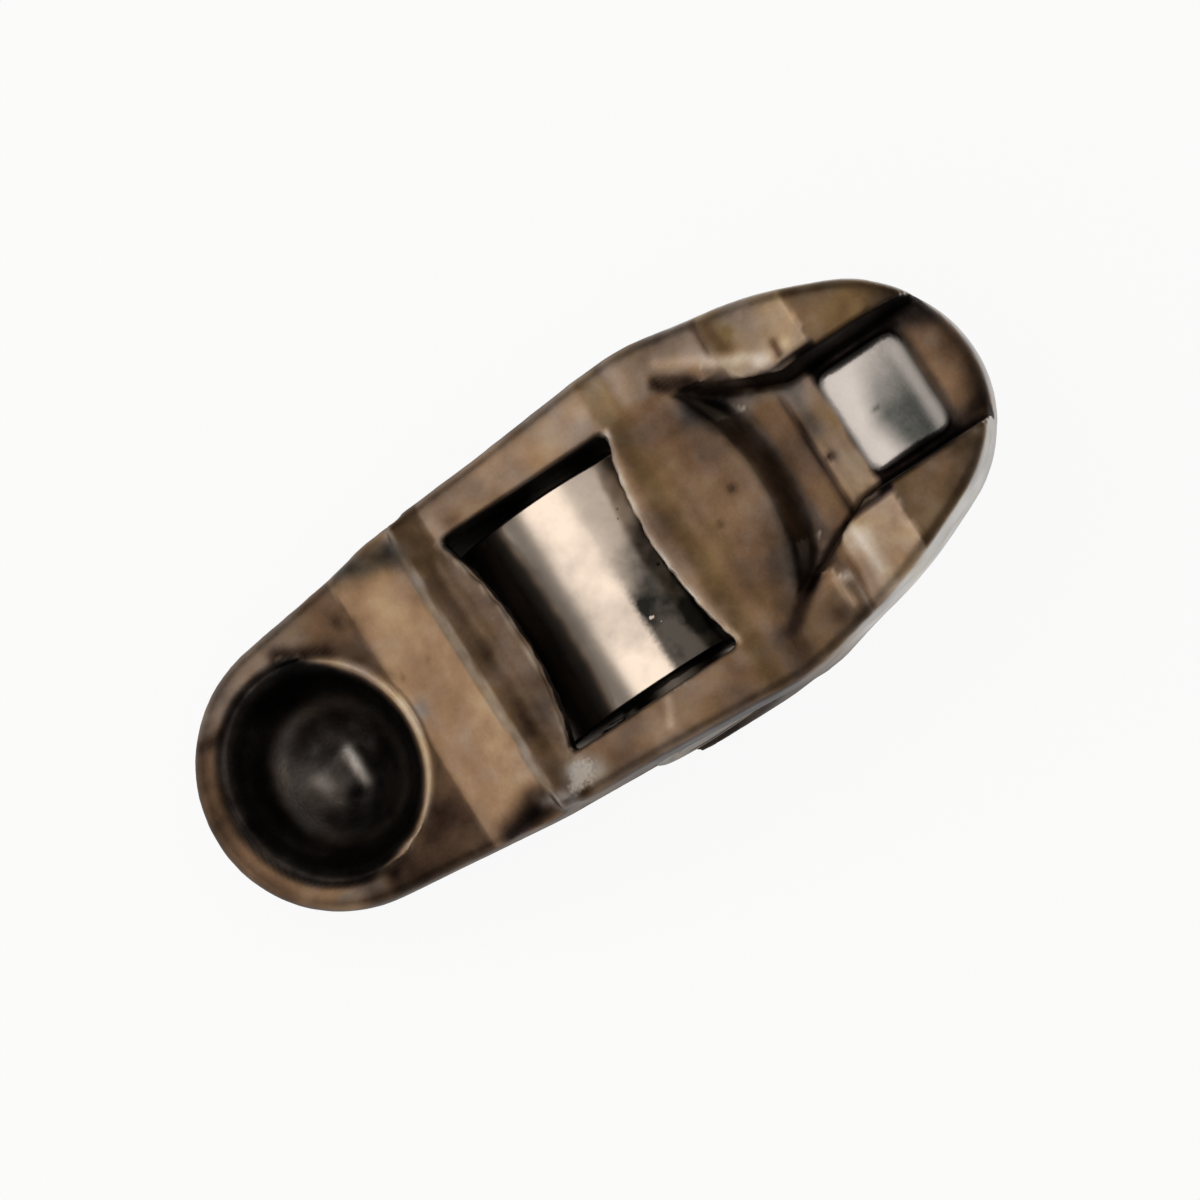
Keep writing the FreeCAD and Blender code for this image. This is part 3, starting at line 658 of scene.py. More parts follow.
# Stains, painted shade, painted highlights and specks
STAINS_SHADE_AND_HIGHLIGHTS = (
    # Painted shade: the dark valley of the concave bend before the tongue, and the dark grooves along the tongue's
    # sides
    Mark((29.5, 5.4), (30.0, 2.3), 0.9, 0.3, 0.75, grey=0.6),
    Mark((28.6, 4.2), (28.9, -3.6), 0.9, 0.34, 0.55, grey=0.3),
    spot(28.6, 5.2, 0.9, 0.16, 0.85, grey=0.9),
    spot(28.4, -4.6, 0.9, 0.24, 0.7, grey=0.7),
    Mark((30.0, 2.3), (30.0, -2.2), 0.8, 0.44, 0.7, grey=0.3),
    spot(28.9, 6.5, 0.6, 0.12, 0.95, grey=0.4),
    Mark((26.5, -7.8), (26.1, -10.4), 0.7, 0.2, 0.85),
    Mark((27.3, -6.6), (28.4, -5.2), 0.8, 0.24, 0.7, grey=0.4),
    Mark((30.0, -2.2), (29.1, -5.4), 0.9, 0.3, 0.75, grey=0.5),
    spot(29.6, 4.9, 0.8, 0.08, 0.95, grey=0.8),
    spot(29.3, -4.6, 0.7, 0.2, 0.8, grey=0.8),
    Mark((27.5, 7.7), (29.4, 6.3), 0.36, 0.14, 0.95),
    Mark((26.6, -8.0), (29.2, -6.2), 0.38, 0.14, 0.95),
    # Painted shade: the dark line at the step before the pad, the channel's upper wall in shadow and a black spot
    # of shadow by the pad's corner
    Mark((32.83, 4.49), (32.73, -3.71), 0.26, 0.2, 0.7),
    Mark((31.25, 4.39), (33.7, 3.69), 0.6, 0.38, 0.7, grey=0.7),
    spot(35.33, 3.79, 0.6, 0.05, 1.0, grey=0.5),
    spot(33.34, -0.86, 0.2, 0.12, 0.9),
    Mark((31.05, 9.3), (31.05, 6.9), 0.25, 0.2, 0.7),
    Mark((31.57, 8.53), (31.99, 6.71), 0.5, 0.34, 0.8, olive=0.4),
    spot(32.52, 7.7, 0.45, 0.5, 0.9, olive=1.0),
    Mark((36, 7.84), (36.05, 6.24), 0.22, 0.68, 0.7),
    spot(34.93, 5.34, 0.4, 0.78, 0.8, grey=0.2),
    Mark((34.37, 5.75), (34.32, 5.05), 0.24, 0.25, 0.8),
    # Painted highlight: the bright line along the lip of the upper facets, ending in a bright spot
    Mark((28.2, 8.5), (31.0, 6.8), 0.36, 0.68, 0.7, grey=0.3),
    Mark((31.0, 6.8), (33.5, 5.3), 0.36, 0.78, 0.75, grey=0.4),
    spot(33.16, 5.2, 0.4, 0.85, 0.75, grey=0.4),
    Mark((32.5, -5.3), (32.6, -8.0), 0.3, 0.82, 0.75, grey=0.4),
    Mark((30.1, -7.0), (30.3, -8.6), 0.28, 0.66, 0.75, grey=0.3),
    spot(29.25, -8.71, 0.5, 0.2, 0.8),
    spot(38.7, -5.06, 0.6, 0.46, 0.6),
    Mark((39.8, -6.2), (42.2, -5.0), 0.9, 0.5, 0.5, grey=0.4),
    Mark((40.63, -4.11), (41.97, -5.06), 0.3, 0.6, 0.7, grey=0.5),
    spot(39.11, 6.04, 0.5, 0.48, 0.6, olive=0.8),
    # Painted shade: the channel's walls in shadow beyond the pad
    Mark((40.74, 3.59), (42.88, 2.89), 0.9, 0.2, 0.9, grey=0.5),
    Mark((40.74, -3.31), (42.88, -2.71), 0.8, 0.18, 0.9, grey=0.2),
    spot(41.86, 1.49, 0.7, 0.45, 0.7),
    # Painted shade in the crease between the land and the ramp
    Mark((5.84, 6.21), (5.64, -9), 0.25, 0.3, 0.5),
    spot(6.49, -0.12, 0.5, 0.5, 0.8, grey=0.8),
    # Painted shade in the two reliefs beside the ramp, near black at the lower one
    Mark((6.49, 8.98), (10.29, 7.48), 0.75, 0.28, 0.95, olive=0.3, grey=0.5),
    spot(9.97, 8.2, 0.55, 0.2, 0.9, grey=0.5),
    Mark((7.2, -9.0), (9.6, -8.3), 0.95, 0.03, 1.0),
    Mark((9.86, -8.3), (11.49, -8.9), 0.45, 0.55, 0.8, grey=0.9),
    Mark((10.52, 7), (10.52, -8), 0.26, 0.58, 0.5, grey=0.4),
    Mark((11.49, 6.5), (11.49, -5), 0.24, 0.22, 0.5),
    Mark((12, 6), (12.11, -7), 0.26, 0.45, 0.5, grey=0.4),
    Mark((-5.38, 4.91), (-4.15, 4.71), 0.45, 0.16, 0.9),
    spot(-6.6, 0.81, 0.8, 0.24, 0.7),
    Mark((-5.99, -1.29), (-5.17, -3.99), 0.7, 0.48, 0.7),
    spot(-4.77, -5.39, 0.5, 0.55, 0.8),
    Mark((-2.83, -6.59), (-0.69, -6.99), 0.45, 0.38, 0.7, grey=0.7),
    # Painted shade in the two nicks beside the socket, with a painted glint in the upper one
    Mark((1.2, 6.7), (3.4, 5.4), 0.55, 0.08, 1.0),
    Mark((1.2, 6.5), (2.1, 6.1), 0.24, 0.7, 0.8, grey=0.6),
    Mark((0.3, -6.7), (3.6, -4.8), 0.45, 0.06, 1.0),
    spot(5.03, 6.71, 0.3, 0.18, 0.8),
    spot(6.71, 1.97, 0.15, 0.4, 0.7),
    spot(8.55, 1.97, 0.2, 0.45, 0.7),
    Mark((19.0, -6.9), (18.1, -8.6), 0.26, 0.72, 0.5, grey=0.4),
    spot(13.84, 7.4, 0.6, 0.36, 0.8),
    spot(14.66, -8.4, 0.7, 0.4, 0.7),
    spot(22, -7.6, 0.6, 0.56, 0.5, grey=0.3),
    spot(12.3, -7.9, 0.65, 0.6, 1.0, grey=1.0),
    spot(13.3, -8.5, 0.6, 0.56, 0.9, grey=1.0),
    spot(16.9, 8, 0.5, 0.6, 0.6, olive=0.4),
    spot(26.39, -0.9, 0.22, 0.15, 0.7),
    spot(28.02, 0.4, 0.24, 0.12, 0.8),
    spot(27.51, 2.9, 0.14, 0.3, 0.8),
    Mark((25.26, 7), (26.28, -7), 0.45, 0.4, 0.7, olive=0.3),
    spot(27.2, -5.8, 0.9, 0.38, 0.7, grey=0.2),
    spot(26.89, 5.6, 0.8, 0.4, 0.7),
    spot(28.12, -1, 1.2, 0.6, 0.6),
)


# Pieces


def finished(name: str, mesh: Mesh, material: bpy.types.Material) -> Piece:
    """Puts a mesh into the scene as a piece with its finish.

    Args:
        name: The piece's name.
        mesh: Its shape.
        material: Its finish.

    Returns:
        The piece.
    """
    piece = bpy.data.objects.new(name, mesh)
    bpy.context.scene.collection.objects.link(piece)
    mesh.materials.clear()
    mesh.materials.append(material)
    return piece


# The stamped arm


@dataclass(frozen=True)
class Borders:
    """Soft borders in the lever's axes, in millimetres: where each starts and where it ends.

    A border named for a side is a distance from the arm's middle line, one named for a depth is a height
    over the arm's datum, and the others are lengths from the pivot, or past an end of the window.
    """

    underside_depth: Pair = (-4.4, -3.6)
    groove_depth: Pair = (-1.0, -0.5)
    torn_side: Pair = (6.7, 7.5)
    torn_depth: Pair = (-2.9, -1.9)
    bare_steel: Pair = (25.0, 31.0)
    platform: Pair = (31.2, 32.4)
    tip: Pair = (39.9, 40.3)
    tip_side: Pair = (2.9, 3.3)
    channel: Pair = (26.6, 27.0)
    channel_side: Pair = (6.5, 7.5)
    channel_depth: Pair = (-3.2, -2.9)
    channel_floor: Pair = (27.5, 28.5)
    inside_shade_depth: Pair = (-3.1, -2.7)
    past_window_start: Pair = (-0.7, -0.3)
    past_window_end: Pair = (0.3, 0.7)
    window_side: Pair = (7.2, 7.6)
    window_depth: Pair = (-0.75, -0.35)
    end_wall: Pair = (-0.6, -0.3)
    boss_start: Pair = (15.8, 16.4)
    boss_end: Pair = (25.0, 25.6)
    boss_side: Pair = (9.2, 9.5)


BORDER = Borders()


@dataclass(frozen=True)
class Dent:
    """A small hollow or nick: place in the lever's axes, reach and depth, all in millimetres."""

    place: tuple[float, float, float]
    reach: float
    depth: float


@dataclass(frozen=True)
class Groove:
    """A scratched groove between two places (u, y), with its reach and its depth in millimetres."""

    start: Pair
    end: Pair
    reach: float
    depth: float

    def sunk(self, u: np.ndarray, y: np.ndarray) -> np.ndarray:
        """How deep the groove is at each point."""
        return self.depth * Mark(self.start, self.end, self.reach, 0.0, 1.0).mask(u, y)


@dataclass(frozen=True)
class Window:
    """The window: where its ends lie along the arm, half its width, and how far its ends bulge inward.

    A rim is the middle and the reach of its pale line, bare sheared steel with a painted highlight, past
    the window's start or its end.
    """

    start: float = 12.6
    end: float = 23.75
    half_width: float = 7.0
    bulge: float = 1.15
    start_rim: Pair = (-0.05, 0.2)
    end_rim: Pair = (0.1, 0.26)
    rim_side: Pair = (6.8, 7.2)
    rim_depth: Pair = (-0.9, -0.6)
    patch_mm: float = 0.9
    patch_stretch: tuple[float, float, float] = (0.4, 1.0, 0.4)
    patch_level: float = 0.6
    patch_share: float = 0.55
    rubbed_reach: float = 0.3
    rubbed_side: Pair = (6.9, 7.3)
    rubbed_depth: Pair = (-0.7, -0.4)
    rubbed_share: float = 0.2

    def past_ends(self, u: np.ndarray, y: np.ndarray) -> tuple[np.ndarray, np.ndarray]:
        """How far each point lies past the two bulging ends, in millimetres along the arm."""
        bulge = self.bulge * np.clip(1 - (y / self.half_width) ** 2, 0, 1)
        return u - self.start - bulge, u - self.end + bulge

    def paint(self, lever: np.ndarray, paint: np.ndarray) -> None:
        """Paints the two torn rims greyer and paler than the skin beside them: bare sheared steel with a
        painted highlight along them.

        Args:
            lever: The skin's points in the lever's axes.
            paint: Rows of tone, olive and grey, painted in place.
        """
        u, y, w = lever.T
        past_start, past_end = self.past_ends(u, y)
        patches = noise_field(lever * np.array(self.patch_stretch), self.patch_mm, seed=4.4)
        patches = np.clip(self.patch_level + self.patch_share * patches, 0, 1)
        # Painted highlight along the torn rims, over their bare sheared steel
        rims = bell(past_start, *self.start_rim) + bell(past_end, *self.end_rim)
        rims *= (1 - ramp_step(np.abs(y), *self.rim_side)) * ramp_step(w, *self.rim_depth)
        lay(paint, rims * patches, tone=0.78, grey=0.6)

    def rubbed(self, u: np.ndarray, y: np.ndarray, w: np.ndarray) -> np.ndarray:
        """How far the rims are rubbed down to bare steel at each point."""
        rims = sum(bell(past, 0.0, self.rubbed_reach) for past in self.past_ends(u, y))
        rims *= (1 - ramp_step(np.abs(y), *self.rubbed_side)) * ramp_step(w, *self.rubbed_depth)
        return rims * self.rubbed_share


@dataclass(frozen=True)
class BallSocket:
    """The ball socket: its flared lip, worn down, painted pale on its lit side and dark on its shaded side,
    and its bowl, smoothed by oil and painted nearly black, with painted reflections and a painted highlight.

    A radius is measured in an oval that is a little wider across the arm than along it.  A ring is its
    radius and its reach in millimetres.
    """

    mouth_oval: Pair = (0.97, 1.05)
    bowl_oval: Pair = (0.95, 1.06)
    worn_ring: Pair = (5.95, 0.35)
    worn_mm: float = 0.3
    worn_depth: Pair = (-2.8, -2.2)
    rubbed_ring: Pair = (5.75, 0.25)
    rubbed_border: Pair = (1.5, 4.0)
    rubbed_slant: float = 0.4
    rubbed_share: float = 0.7
    lip_ring: Pair = (6.0, 0.32)
    lip_depth: Pair = (-2.8, -2.3)
    lit_border: Pair = (-1.0, 3.5)
    lit_slant: float = 0.2
    bowl_edge: Pair = (5.3, 5.7)
    shaded_edge: float = 0.9
    bowl_depth: Pair = (1.75, 2.2)
    bowl_facing: Pair = (-0.1, 0.1)
    far_side: Pair = (-2.0, 3.0)
    # The bowl is painted nearly black, a little lighter on its far side
    bowl_tone: float = 0.13
    far_tone: float = 0.05
    faint_ring: Pair = (3.9, 0.35)
    # Two rings of painted reflection in the bowl
    faint_tone: float = 0.07
    bright_ring: Pair = (3.6, 0.45)
    bright_tone: float = 0.3
    bright_border: Pair = (-3.0, 3.0)
    bright_slant: float = 0.6
    oil_edge: Pair = (5.1, 5.5)
    oil_depth: Pair = (2.4, 3.1)
    # A painted highlight of two lobes in the bowl
    highlight_lobes: tuple[Mark, ...] = (
        Mark((0.8, 0.9), (0.75, -1.1), 0.4, 1.0, 0.8),
        Mark((-1.5, 0.2), (-1.1, -1.0), 0.6, 1.0, 0.28),
    )

    @staticmethod
    def radius(u: np.ndarray, y: np.ndarray, oval: Pair) -> np.ndarray:
        """How far each point lies from the pivot, in an oval."""
        return np.hypot(u / oval[0], y / oval[1])

    def worn(self, u: np.ndarray, y: np.ndarray, w: np.ndarray) -> np.ndarray:
        """How far the lip is worn down at each point, in millimetres."""
        radius = self.radius(u, y, self.mouth_oval)
        return self.worn_mm * bell(radius, *self.worn_ring) * ramp_step(w, *self.worn_depth)

    def rubbed(self, u: np.ndarray, y: np.ndarray) -> np.ndarray:
        """How far the lip is rubbed down to bare steel at each point."""
        ring = bell(self.radius(u, y, self.mouth_oval), *self.rubbed_ring)
        return ring * ramp_step(u - self.rubbed_slant * y, *self.rubbed_border) * self.rubbed_share

    def oiled(self, u: np.ndarray, y: np.ndarray, w: np.ndarray) -> np.ndarray:
        """Where the oil in the bowl makes it smooth."""
        radius = self.radius(u, y, self.bowl_oval)
        return ramp_step(-w, *self.oil_depth) * (1 - ramp_step(radius, *self.oil_edge))

    def paint(self, lever: np.ndarray, turned: np.ndarray, paint: np.ndarray) -> None:
        """Paints the lip pale where it is lit and dark where it is shaded, and the bowl nearly black with two
        faint rings of painted reflection and a painted highlight of two lobes.

        Args:
            lever: The skin's points in the lever's axes.
            turned: Its outward directions in the same axes.
            paint: Rows of tone, olive and grey, painted in place.
        """
        u, y, w = lever.T
        radius = self.radius(u, y, self.bowl_oval)
        lit = ramp_step(u - self.lit_slant * y, *self.lit_border)
        lip = bell(radius, *self.lip_ring) * ramp_step(w, *self.lip_depth)
        # Painted light and shade on the lip: dark where it is shaded, pale where it is lit
        lay(paint, lip * (1 - lit), tone=0.12, grey=0.3)
        lay(paint, lip * lit, tone=0.7, olive=0.1, grey=0.3)
        # Painted reflections and highlight in the bowl: two rings and two lobes
        bright = bell(radius, *self.bright_ring) * ramp_step(y * self.bright_slant - u, *self.bright_border)
        tone = self.bowl_tone + self.far_tone * ramp_step(-u, *self.far_side) + self.bright_tone * bright
        tone += self.faint_tone * bell(radius, *self.faint_ring)
        tone += sum(lobe.mask(u, y) for lobe in self.highlight_lobes)
        cover = ramp_step(-w, *self.bowl_depth) * ramp_step(turned[:, 2], *self.bowl_facing)
        cover *= 1 - ramp_step(radius - self.shaded_edge * (1 - lit), *self.bowl_edge)
        lay(paint, cover, tone, grey=0.7)


@dataclass(frozen=True)
class ValvePad:
    """The ground pad that meets the valve's stem: its bright face, a painted dark reflection over part
    of it, and a dark pit.
    """

    middle: float = 37.45
    half_length: float = 2.85
    half_width: float = 3.2
    soft: float = 0.2
    depth: Pair = (-2.0, -1.85)
    # Where the painted dark reflection lies on the pad
    dark_start: Pair = (35.6, 37.4)
    dark_slant: float = 0.25
    dark_middle: float = -0.8
    dark_side: Pair = (-1.2, 3.4)
    dark_end: Pair = (38.9, 39.6)
    dark_share: float = 0.9
    side_loss: float = 0.8
    end_loss: float = 0.85
    pit: Pair = (37.0, -0.1)
    pit_reach: float = 0.3
    pit_stretch: float = 0.6

    def face(self, u: np.ndarray, y: np.ndarray, w: np.ndarray) -> np.ndarray:
        """Where the ground face lies."""
        face = ramp_step(self.half_length - np.abs(u - self.middle), 0, self.soft)
        return face * ramp_step(self.half_width - np.abs(y), 0, self.soft) * ramp_step(w, *self.depth)

    def dark(self, u: np.ndarray, y: np.ndarray) -> np.ndarray:
        """Works out where the face carries its painted dark reflection and its pit.

        Args:
            u: Lengths along the arm.
            y: Places across it.

        Returns:
            How dark each point is, from 0 to 1.
        """
        # Painted dark reflection over the pad's middle, and the pit
        dark = ramp_step(u - self.dark_slant * np.abs(y - self.dark_middle), *self.dark_start)
        dark *= 1.0 - self.side_loss * ramp_step(y, *self.dark_side)
        dark *= self.dark_share * (1 - self.end_loss * ramp_step(u, *self.dark_end))
        from_pit = np.hypot((u - self.pit[0]) * self.pit_stretch, y - self.pit[1])
        return np.maximum(dark, self.dark_share * bell(from_pit, 0.0, self.pit_reach))


@dataclass(frozen=True)
class ArmSkin:
    """The stamped arm as one worn skin over its solid."""

    merge_mm: float = 0.001
    voxel_mm: float = 0.22
    smoothing: int = 4
    tongue_smoothing: int = 22
    tongue_tip: Pair = (27.2, 31.6)
    tongue_half_width: float = 6.2
    tongue_depth: float = -3.2
    lump_mm: float = 3.6
    lump_depth_mm: float = 0.035
    fine_lump_share: float = 0.35
    shear_mm: float = 0.75
    shear_stretch: tuple[float, float, float] = (0.5, 1.0, 0.5)
    fine_shear_mm: float = 0.33
    fine_shear_stretch: tuple[float, float, float] = (0.5, 1.0, 1.0)
    fine_shear_share: float = 0.6
    shear_reach: float = 0.5
    shear_depth_mm: float = 0.1
    facing_up: Pair = (0.25, 0.6)
    border_wave_mm: float = 1.6
    border_warp_mm: float = 0.16
    edge_rounds: int = 6
    edge_height_mm: Pair = (0.03, 0.11)
    edge_tone: float = 0.03
    edge_rub: float = 0.12
    boss_rub: float = 0.35
    hollow_rounds: int = 60
    hollow_depth_mm: Pair = (0.16, 0.7)
    grime_and_shade_share: float = 0.75
    channel_grime_and_shade_loss: float = 0.4
    wall_tone: float = 0.34
    wall_grey: float = 0.3
    bare_tone: float = 0.42
    bare_grey: float = 0.6
    floor_tone: float = 0.34
    platform_shade: float = 0.27
    tip_tone: float = 0.22
    inner_wall: Pair = (0.7, 35.3)
    inner_wall_depth: float = -6.5
    channel_end: float = 42.3
    channel_half_width: float = 4.0
    window: Window = Window()
    ball_socket: BallSocket = BallSocket()
    pad: ValvePad = ValvePad()
    grooves: tuple[Groove, ...] = (
        Groove((27.7, 7.6), (29.4, 6.3), 0.35, 0.2),
        Groove((26.9, -7.8), (29.2, -6.2), 0.35, 0.15),
    )
    dents: tuple[Dent, ...] = (
        Dent((1.7, 5.7, -1.8), 0.55, 0.3),
        Dent((1.0, 6.0, -1.8), 0.45, 0.25),
        Dent((2.4, -5.2, -1.8), 0.5, 0.3),
        Dent((1.2, -5.9, -1.8), 0.45, 0.35),
        Dent((26.4, -0.9, 0.1), 0.22, 0.12),
        Dent((28.02, 0.4, 0.3), 0.2, 0.12),
        Dent((27.5, 2.9, 0.2), 0.2, 0.1),
        Dent((33.35, -0.87, -2.4), 0.2, 0.12),
        Dent((34.3, 5.3, 0.8), 0.35, 0.2),
    )
    scuffs: tuple[Mark, ...] = (
        spot(12.7, -8.1, 1.1, 1.0, 0.66),
        spot(11.7, -8.8, 0.6, 1.0, 0.45),
        Mark((14.5, -7.3), (21.0, -7.2), 0.2, 1.0, 0.36),
    )

    def build(self) -> Piece:
        """Makes the skin and puts it on the lever.

        Returns:
            The piece.
        """
        mesh = self.remeshed()
        self.wear_shape(mesh)
        self.paint(mesh)
        mesh.shade_smooth()
        piece = finished("stamped_arm", mesh, StampedArmSteel().material())
        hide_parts("arm")
        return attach(piece, "lever")

    def remeshed(self) -> Mesh:
        """Covers the arm's solid with an even net of small faces that runs along the arm.

        Returns:
            The net, its steps smoothed away and the tongue's tip rounded.
        """
        lay_flat = Matrix.Rotation(LEVER.pitch, 4, "Y")
        net = bmesh.new()
        net.from_mesh(frame["nodes"]["arm"].data)
        net.transform(lay_flat)
        bmesh.ops.remove_doubles(net, verts=net.verts, dist=self.merge_mm * MM)
        bmesh.ops.recalc_face_normals(net, faces=net.faces)
        mesh = bpy.data.meshes.new("arm_copy")
        net.to_mesh(mesh)
        holder = bpy.data.objects.new("arm_copy", mesh)
        bpy.context.scene.collection.objects.link(holder)
        remesh = holder.modifiers.new("even_net", "REMESH")
        remesh.mode = "VOXEL"
        remesh.voxel_size = self.voxel_mm * MM
        dressed = holder.evaluated_get(bpy.context.evaluated_depsgraph_get())
        even = bpy.data.meshes.new_from_object(dressed)
        bpy.data.objects.remove(holder)
        net.clear()
        net.from_mesh(even)
        net.transform(lay_flat.inverted())
        self.relax(net, net.verts, self.smoothing)
        self.relax(net, self.tip_of_tongue(net), self.tongue_smoothing)
        net.to_mesh(even)
        net.free()
        even.name = "stamped_arm"
        return even

    @staticmethod
    def relax(net: bmesh.types.BMesh, points: object, rounds: int) -> None:
        """Smooths some of a net's points, in place.

        Args:
            net: The net.
            points: The points.
            rounds: How many times they are smoothed.
        """
        axes = {"use_axis_x": True, "use_axis_y": True, "use_axis_z": True}
        for _ in range(rounds):
            bmesh.ops.smooth_vert(net, verts=points, factor=0.5, **axes)

    def tip_of_tongue(self, net: bmesh.types.BMesh) -> list[bmesh.types.BMVert]:
        """Finds where the tongue's tip rolls over into the channel, which wear has rounded.

        Args:
            net: The skin in the world's place.

        Returns:
            The net's points there.
        """
        net.verts.ensure_lookup_table()
        u, y, w = LEVER.from_world(np.array([v.co for v in net.verts])).T
        start, end = self.tongue_tip
        chosen = (u > start) & (u < end) & (np.abs(y) < self.tongue_half_width) & (w > self.tongue_depth)
        return [net.verts[k] for k in np.flatnonzero(chosen)]

    @staticmethod
    def read(mesh: Mesh) -> tuple[np.ndarray, np.ndarray]:
        """Reads a mesh's points.

        Args:
            mesh: The mesh.

        Returns:
            Their places and their outward directions, one row each.
        """
        places = np.zeros(len(mesh.vertices) * 3)
        outward = np.zeros(len(mesh.vertices) * 3)
        mesh.vertices.foreach_get("co", places)
        mesh.vertex_normals.foreach_get("vector", outward)
        return places.reshape(-1, 3), outward.reshape(-1, 3)

    def wear_shape(self, mesh: Mesh) -> None:
        """Adds uneven stamping, the window's torn edges and small dents, kept inside the solid's box.

        Args:
            mesh: The skin, changed in place.
        """
        places, outward = self.read(mesh)
        lever = LEVER.from_world(places)
        u, y, w = lever.T
        lumps = noise_field(lever, self.lump_mm, seed=3.1)
        lumps += self.fine_lump_share * noise_field(lever, self.lump_mm / 4, seed=8.7)
        push = -self.lump_depth_mm * np.abs(lumps) - self.ball_socket.worn(u, y, w)
        for dent in self.dents:
            away = np.linalg.norm(lever - np.array(dent.place), axis=1)
            push -= dent.depth * bell(away, 0.0, dent.reach)
        for groove in self.grooves:
            push -= groove.sunk(u, y) * ramp_step(w, *BORDER.groove_depth)
        moved = places + outward * push[:, None] * MM

        past_start, past_end = self.window.past_ends(u, y)
        inside = (1 - ramp_step(np.abs(y), *BORDER.torn_side)) * ramp_step(w, *BORDER.torn_depth)
        ragged = noise_field(lever * np.array(self.shear_stretch), self.shear_mm, seed=5.5)
        fine = noise_field(lever * np.array(self.fine_shear_stretch), self.fine_shear_mm, seed=1.9)
        ragged += self.fine_shear_share * fine
        near = bell(past_start, 0.0, self.shear_reach) - bell(past_end, 0.0, self.shear_reach)
        along = near * inside * ragged * self.shear_depth_mm
        moved += LEVER.turn_to_world(np.stack([along, 0 * along, 0 * along], 1)) * MM
        low, high = (np.array(corner) for corner in CAD_BOX)
        mesh.vertices.foreach_set("co", np.clip(moved, low, high).ravel())
        mesh.update()

    def hollowness(self, mesh: Mesh, rounds: int) -> np.ndarray:
        """How far each point lies below its relaxed surroundings, in millimetres: positive in hollows.

        Args:
            mesh: The skin.
            rounds: How many times the surroundings are averaged.

        Returns:
            One signed depth a point.
        """
        places, outward = self.read(mesh)
        edges = np.zeros(len(mesh.edges) * 2, dtype=np.int64)
        mesh.edges.foreach_get("vertices", edges)
        a, b = edges.reshape(-1, 2).T
        count = len(places)
        share = np.bincount(a, minlength=count) + np.bincount(b, minlength=count)
        relaxed = places.copy()
        for _ in range(rounds):
            sums = [np.bincount(a, line[b], count) + np.bincount(b, line[a], count) for line in relaxed.T]
            relaxed = np.stack(sums, 1) / share[:, None]
        return ((relaxed - places) * outward).sum(1) / MM

    def paint(self, mesh: Mesh) -> None:
        """Writes the tints with their painted light and shade, the grime with painted shade in hollows, the
        edge wear and the finishes' masks, the pad's painted dark reflection among them, as colour attributes.

        Args:
            mesh: The skin.
        """
        places, outward = self.read(mesh)
        lever = LEVER.from_world(places)
        turned = LEVER.turn_from_world(outward)
        u, y, w = lever.T
        top = ramp_step(turned[:, 2], *self.facing_up) * ramp_step(w, *BORDER.underside_depth)
        warp_u, warp_y = (
            noise_field(lever, self.border_wave_mm, seed) * self.border_warp_mm for seed in (2.2, 7.2)
        )
        paint = self.walls(lever, turned)
        # Facet tones and marks, with painted light, shade and highlights among the tints and stains
        for coat in FACET_TONES_WITH_PAINTED_LIGHT + STAINS_SHADE_AND_HIGHLIGHTS:
            lay(paint, coat.mask(u + warp_u, y + warp_y) * top, coat.tone, coat.olive, coat.grey)
        self.ball_socket.paint(lever, turned, paint)
        self.window.paint(lever, paint)
        tone, olive, grey = paint

        edge = ramp_step(-self.hollowness(mesh, self.edge_rounds), *self.edge_height_mm)
        # Grime and painted shade: hollows and creases are darkened
        grime_and_shade = ramp_step(self.hollowness(mesh, self.hollow_rounds), *self.hollow_depth_mm)
        grime_and_shade *= self.grime_and_shade_share - self.channel_grime_and_shade_loss * ramp_step(u, *BORDER.channel_floor) * top
        rubbed = self.window.rubbed(u, y, w) + self.ball_socket.rubbed(u, y)
        rubbed += self.boss_rub * self.boss(u, y) + self.edge_rub
        torn = np.clip(rubbed, 0, 1) * edge + sum(scuff.mask(u, y) for scuff in self.scuffs) * top
        on_pad = self.pad.face(u, y, w) * top
        # The first attribute carries the tones with their painted light and shade, and the grime with painted
        # shade in hollows
        self.write(mesh, "patina_and_painted_light", (tone + self.edge_tone * edge, grime_and_shade * (1 - on_pad), torn))
        # The finish's second channel carries the pad's painted dark reflection and its pit
        self.write(mesh, "finish", (on_pad, self.pad.dark(u, y), self.ball_socket.oiled(u, y, w)))
        self.write(mesh, "tint", (olive, grey, 0 * grey))

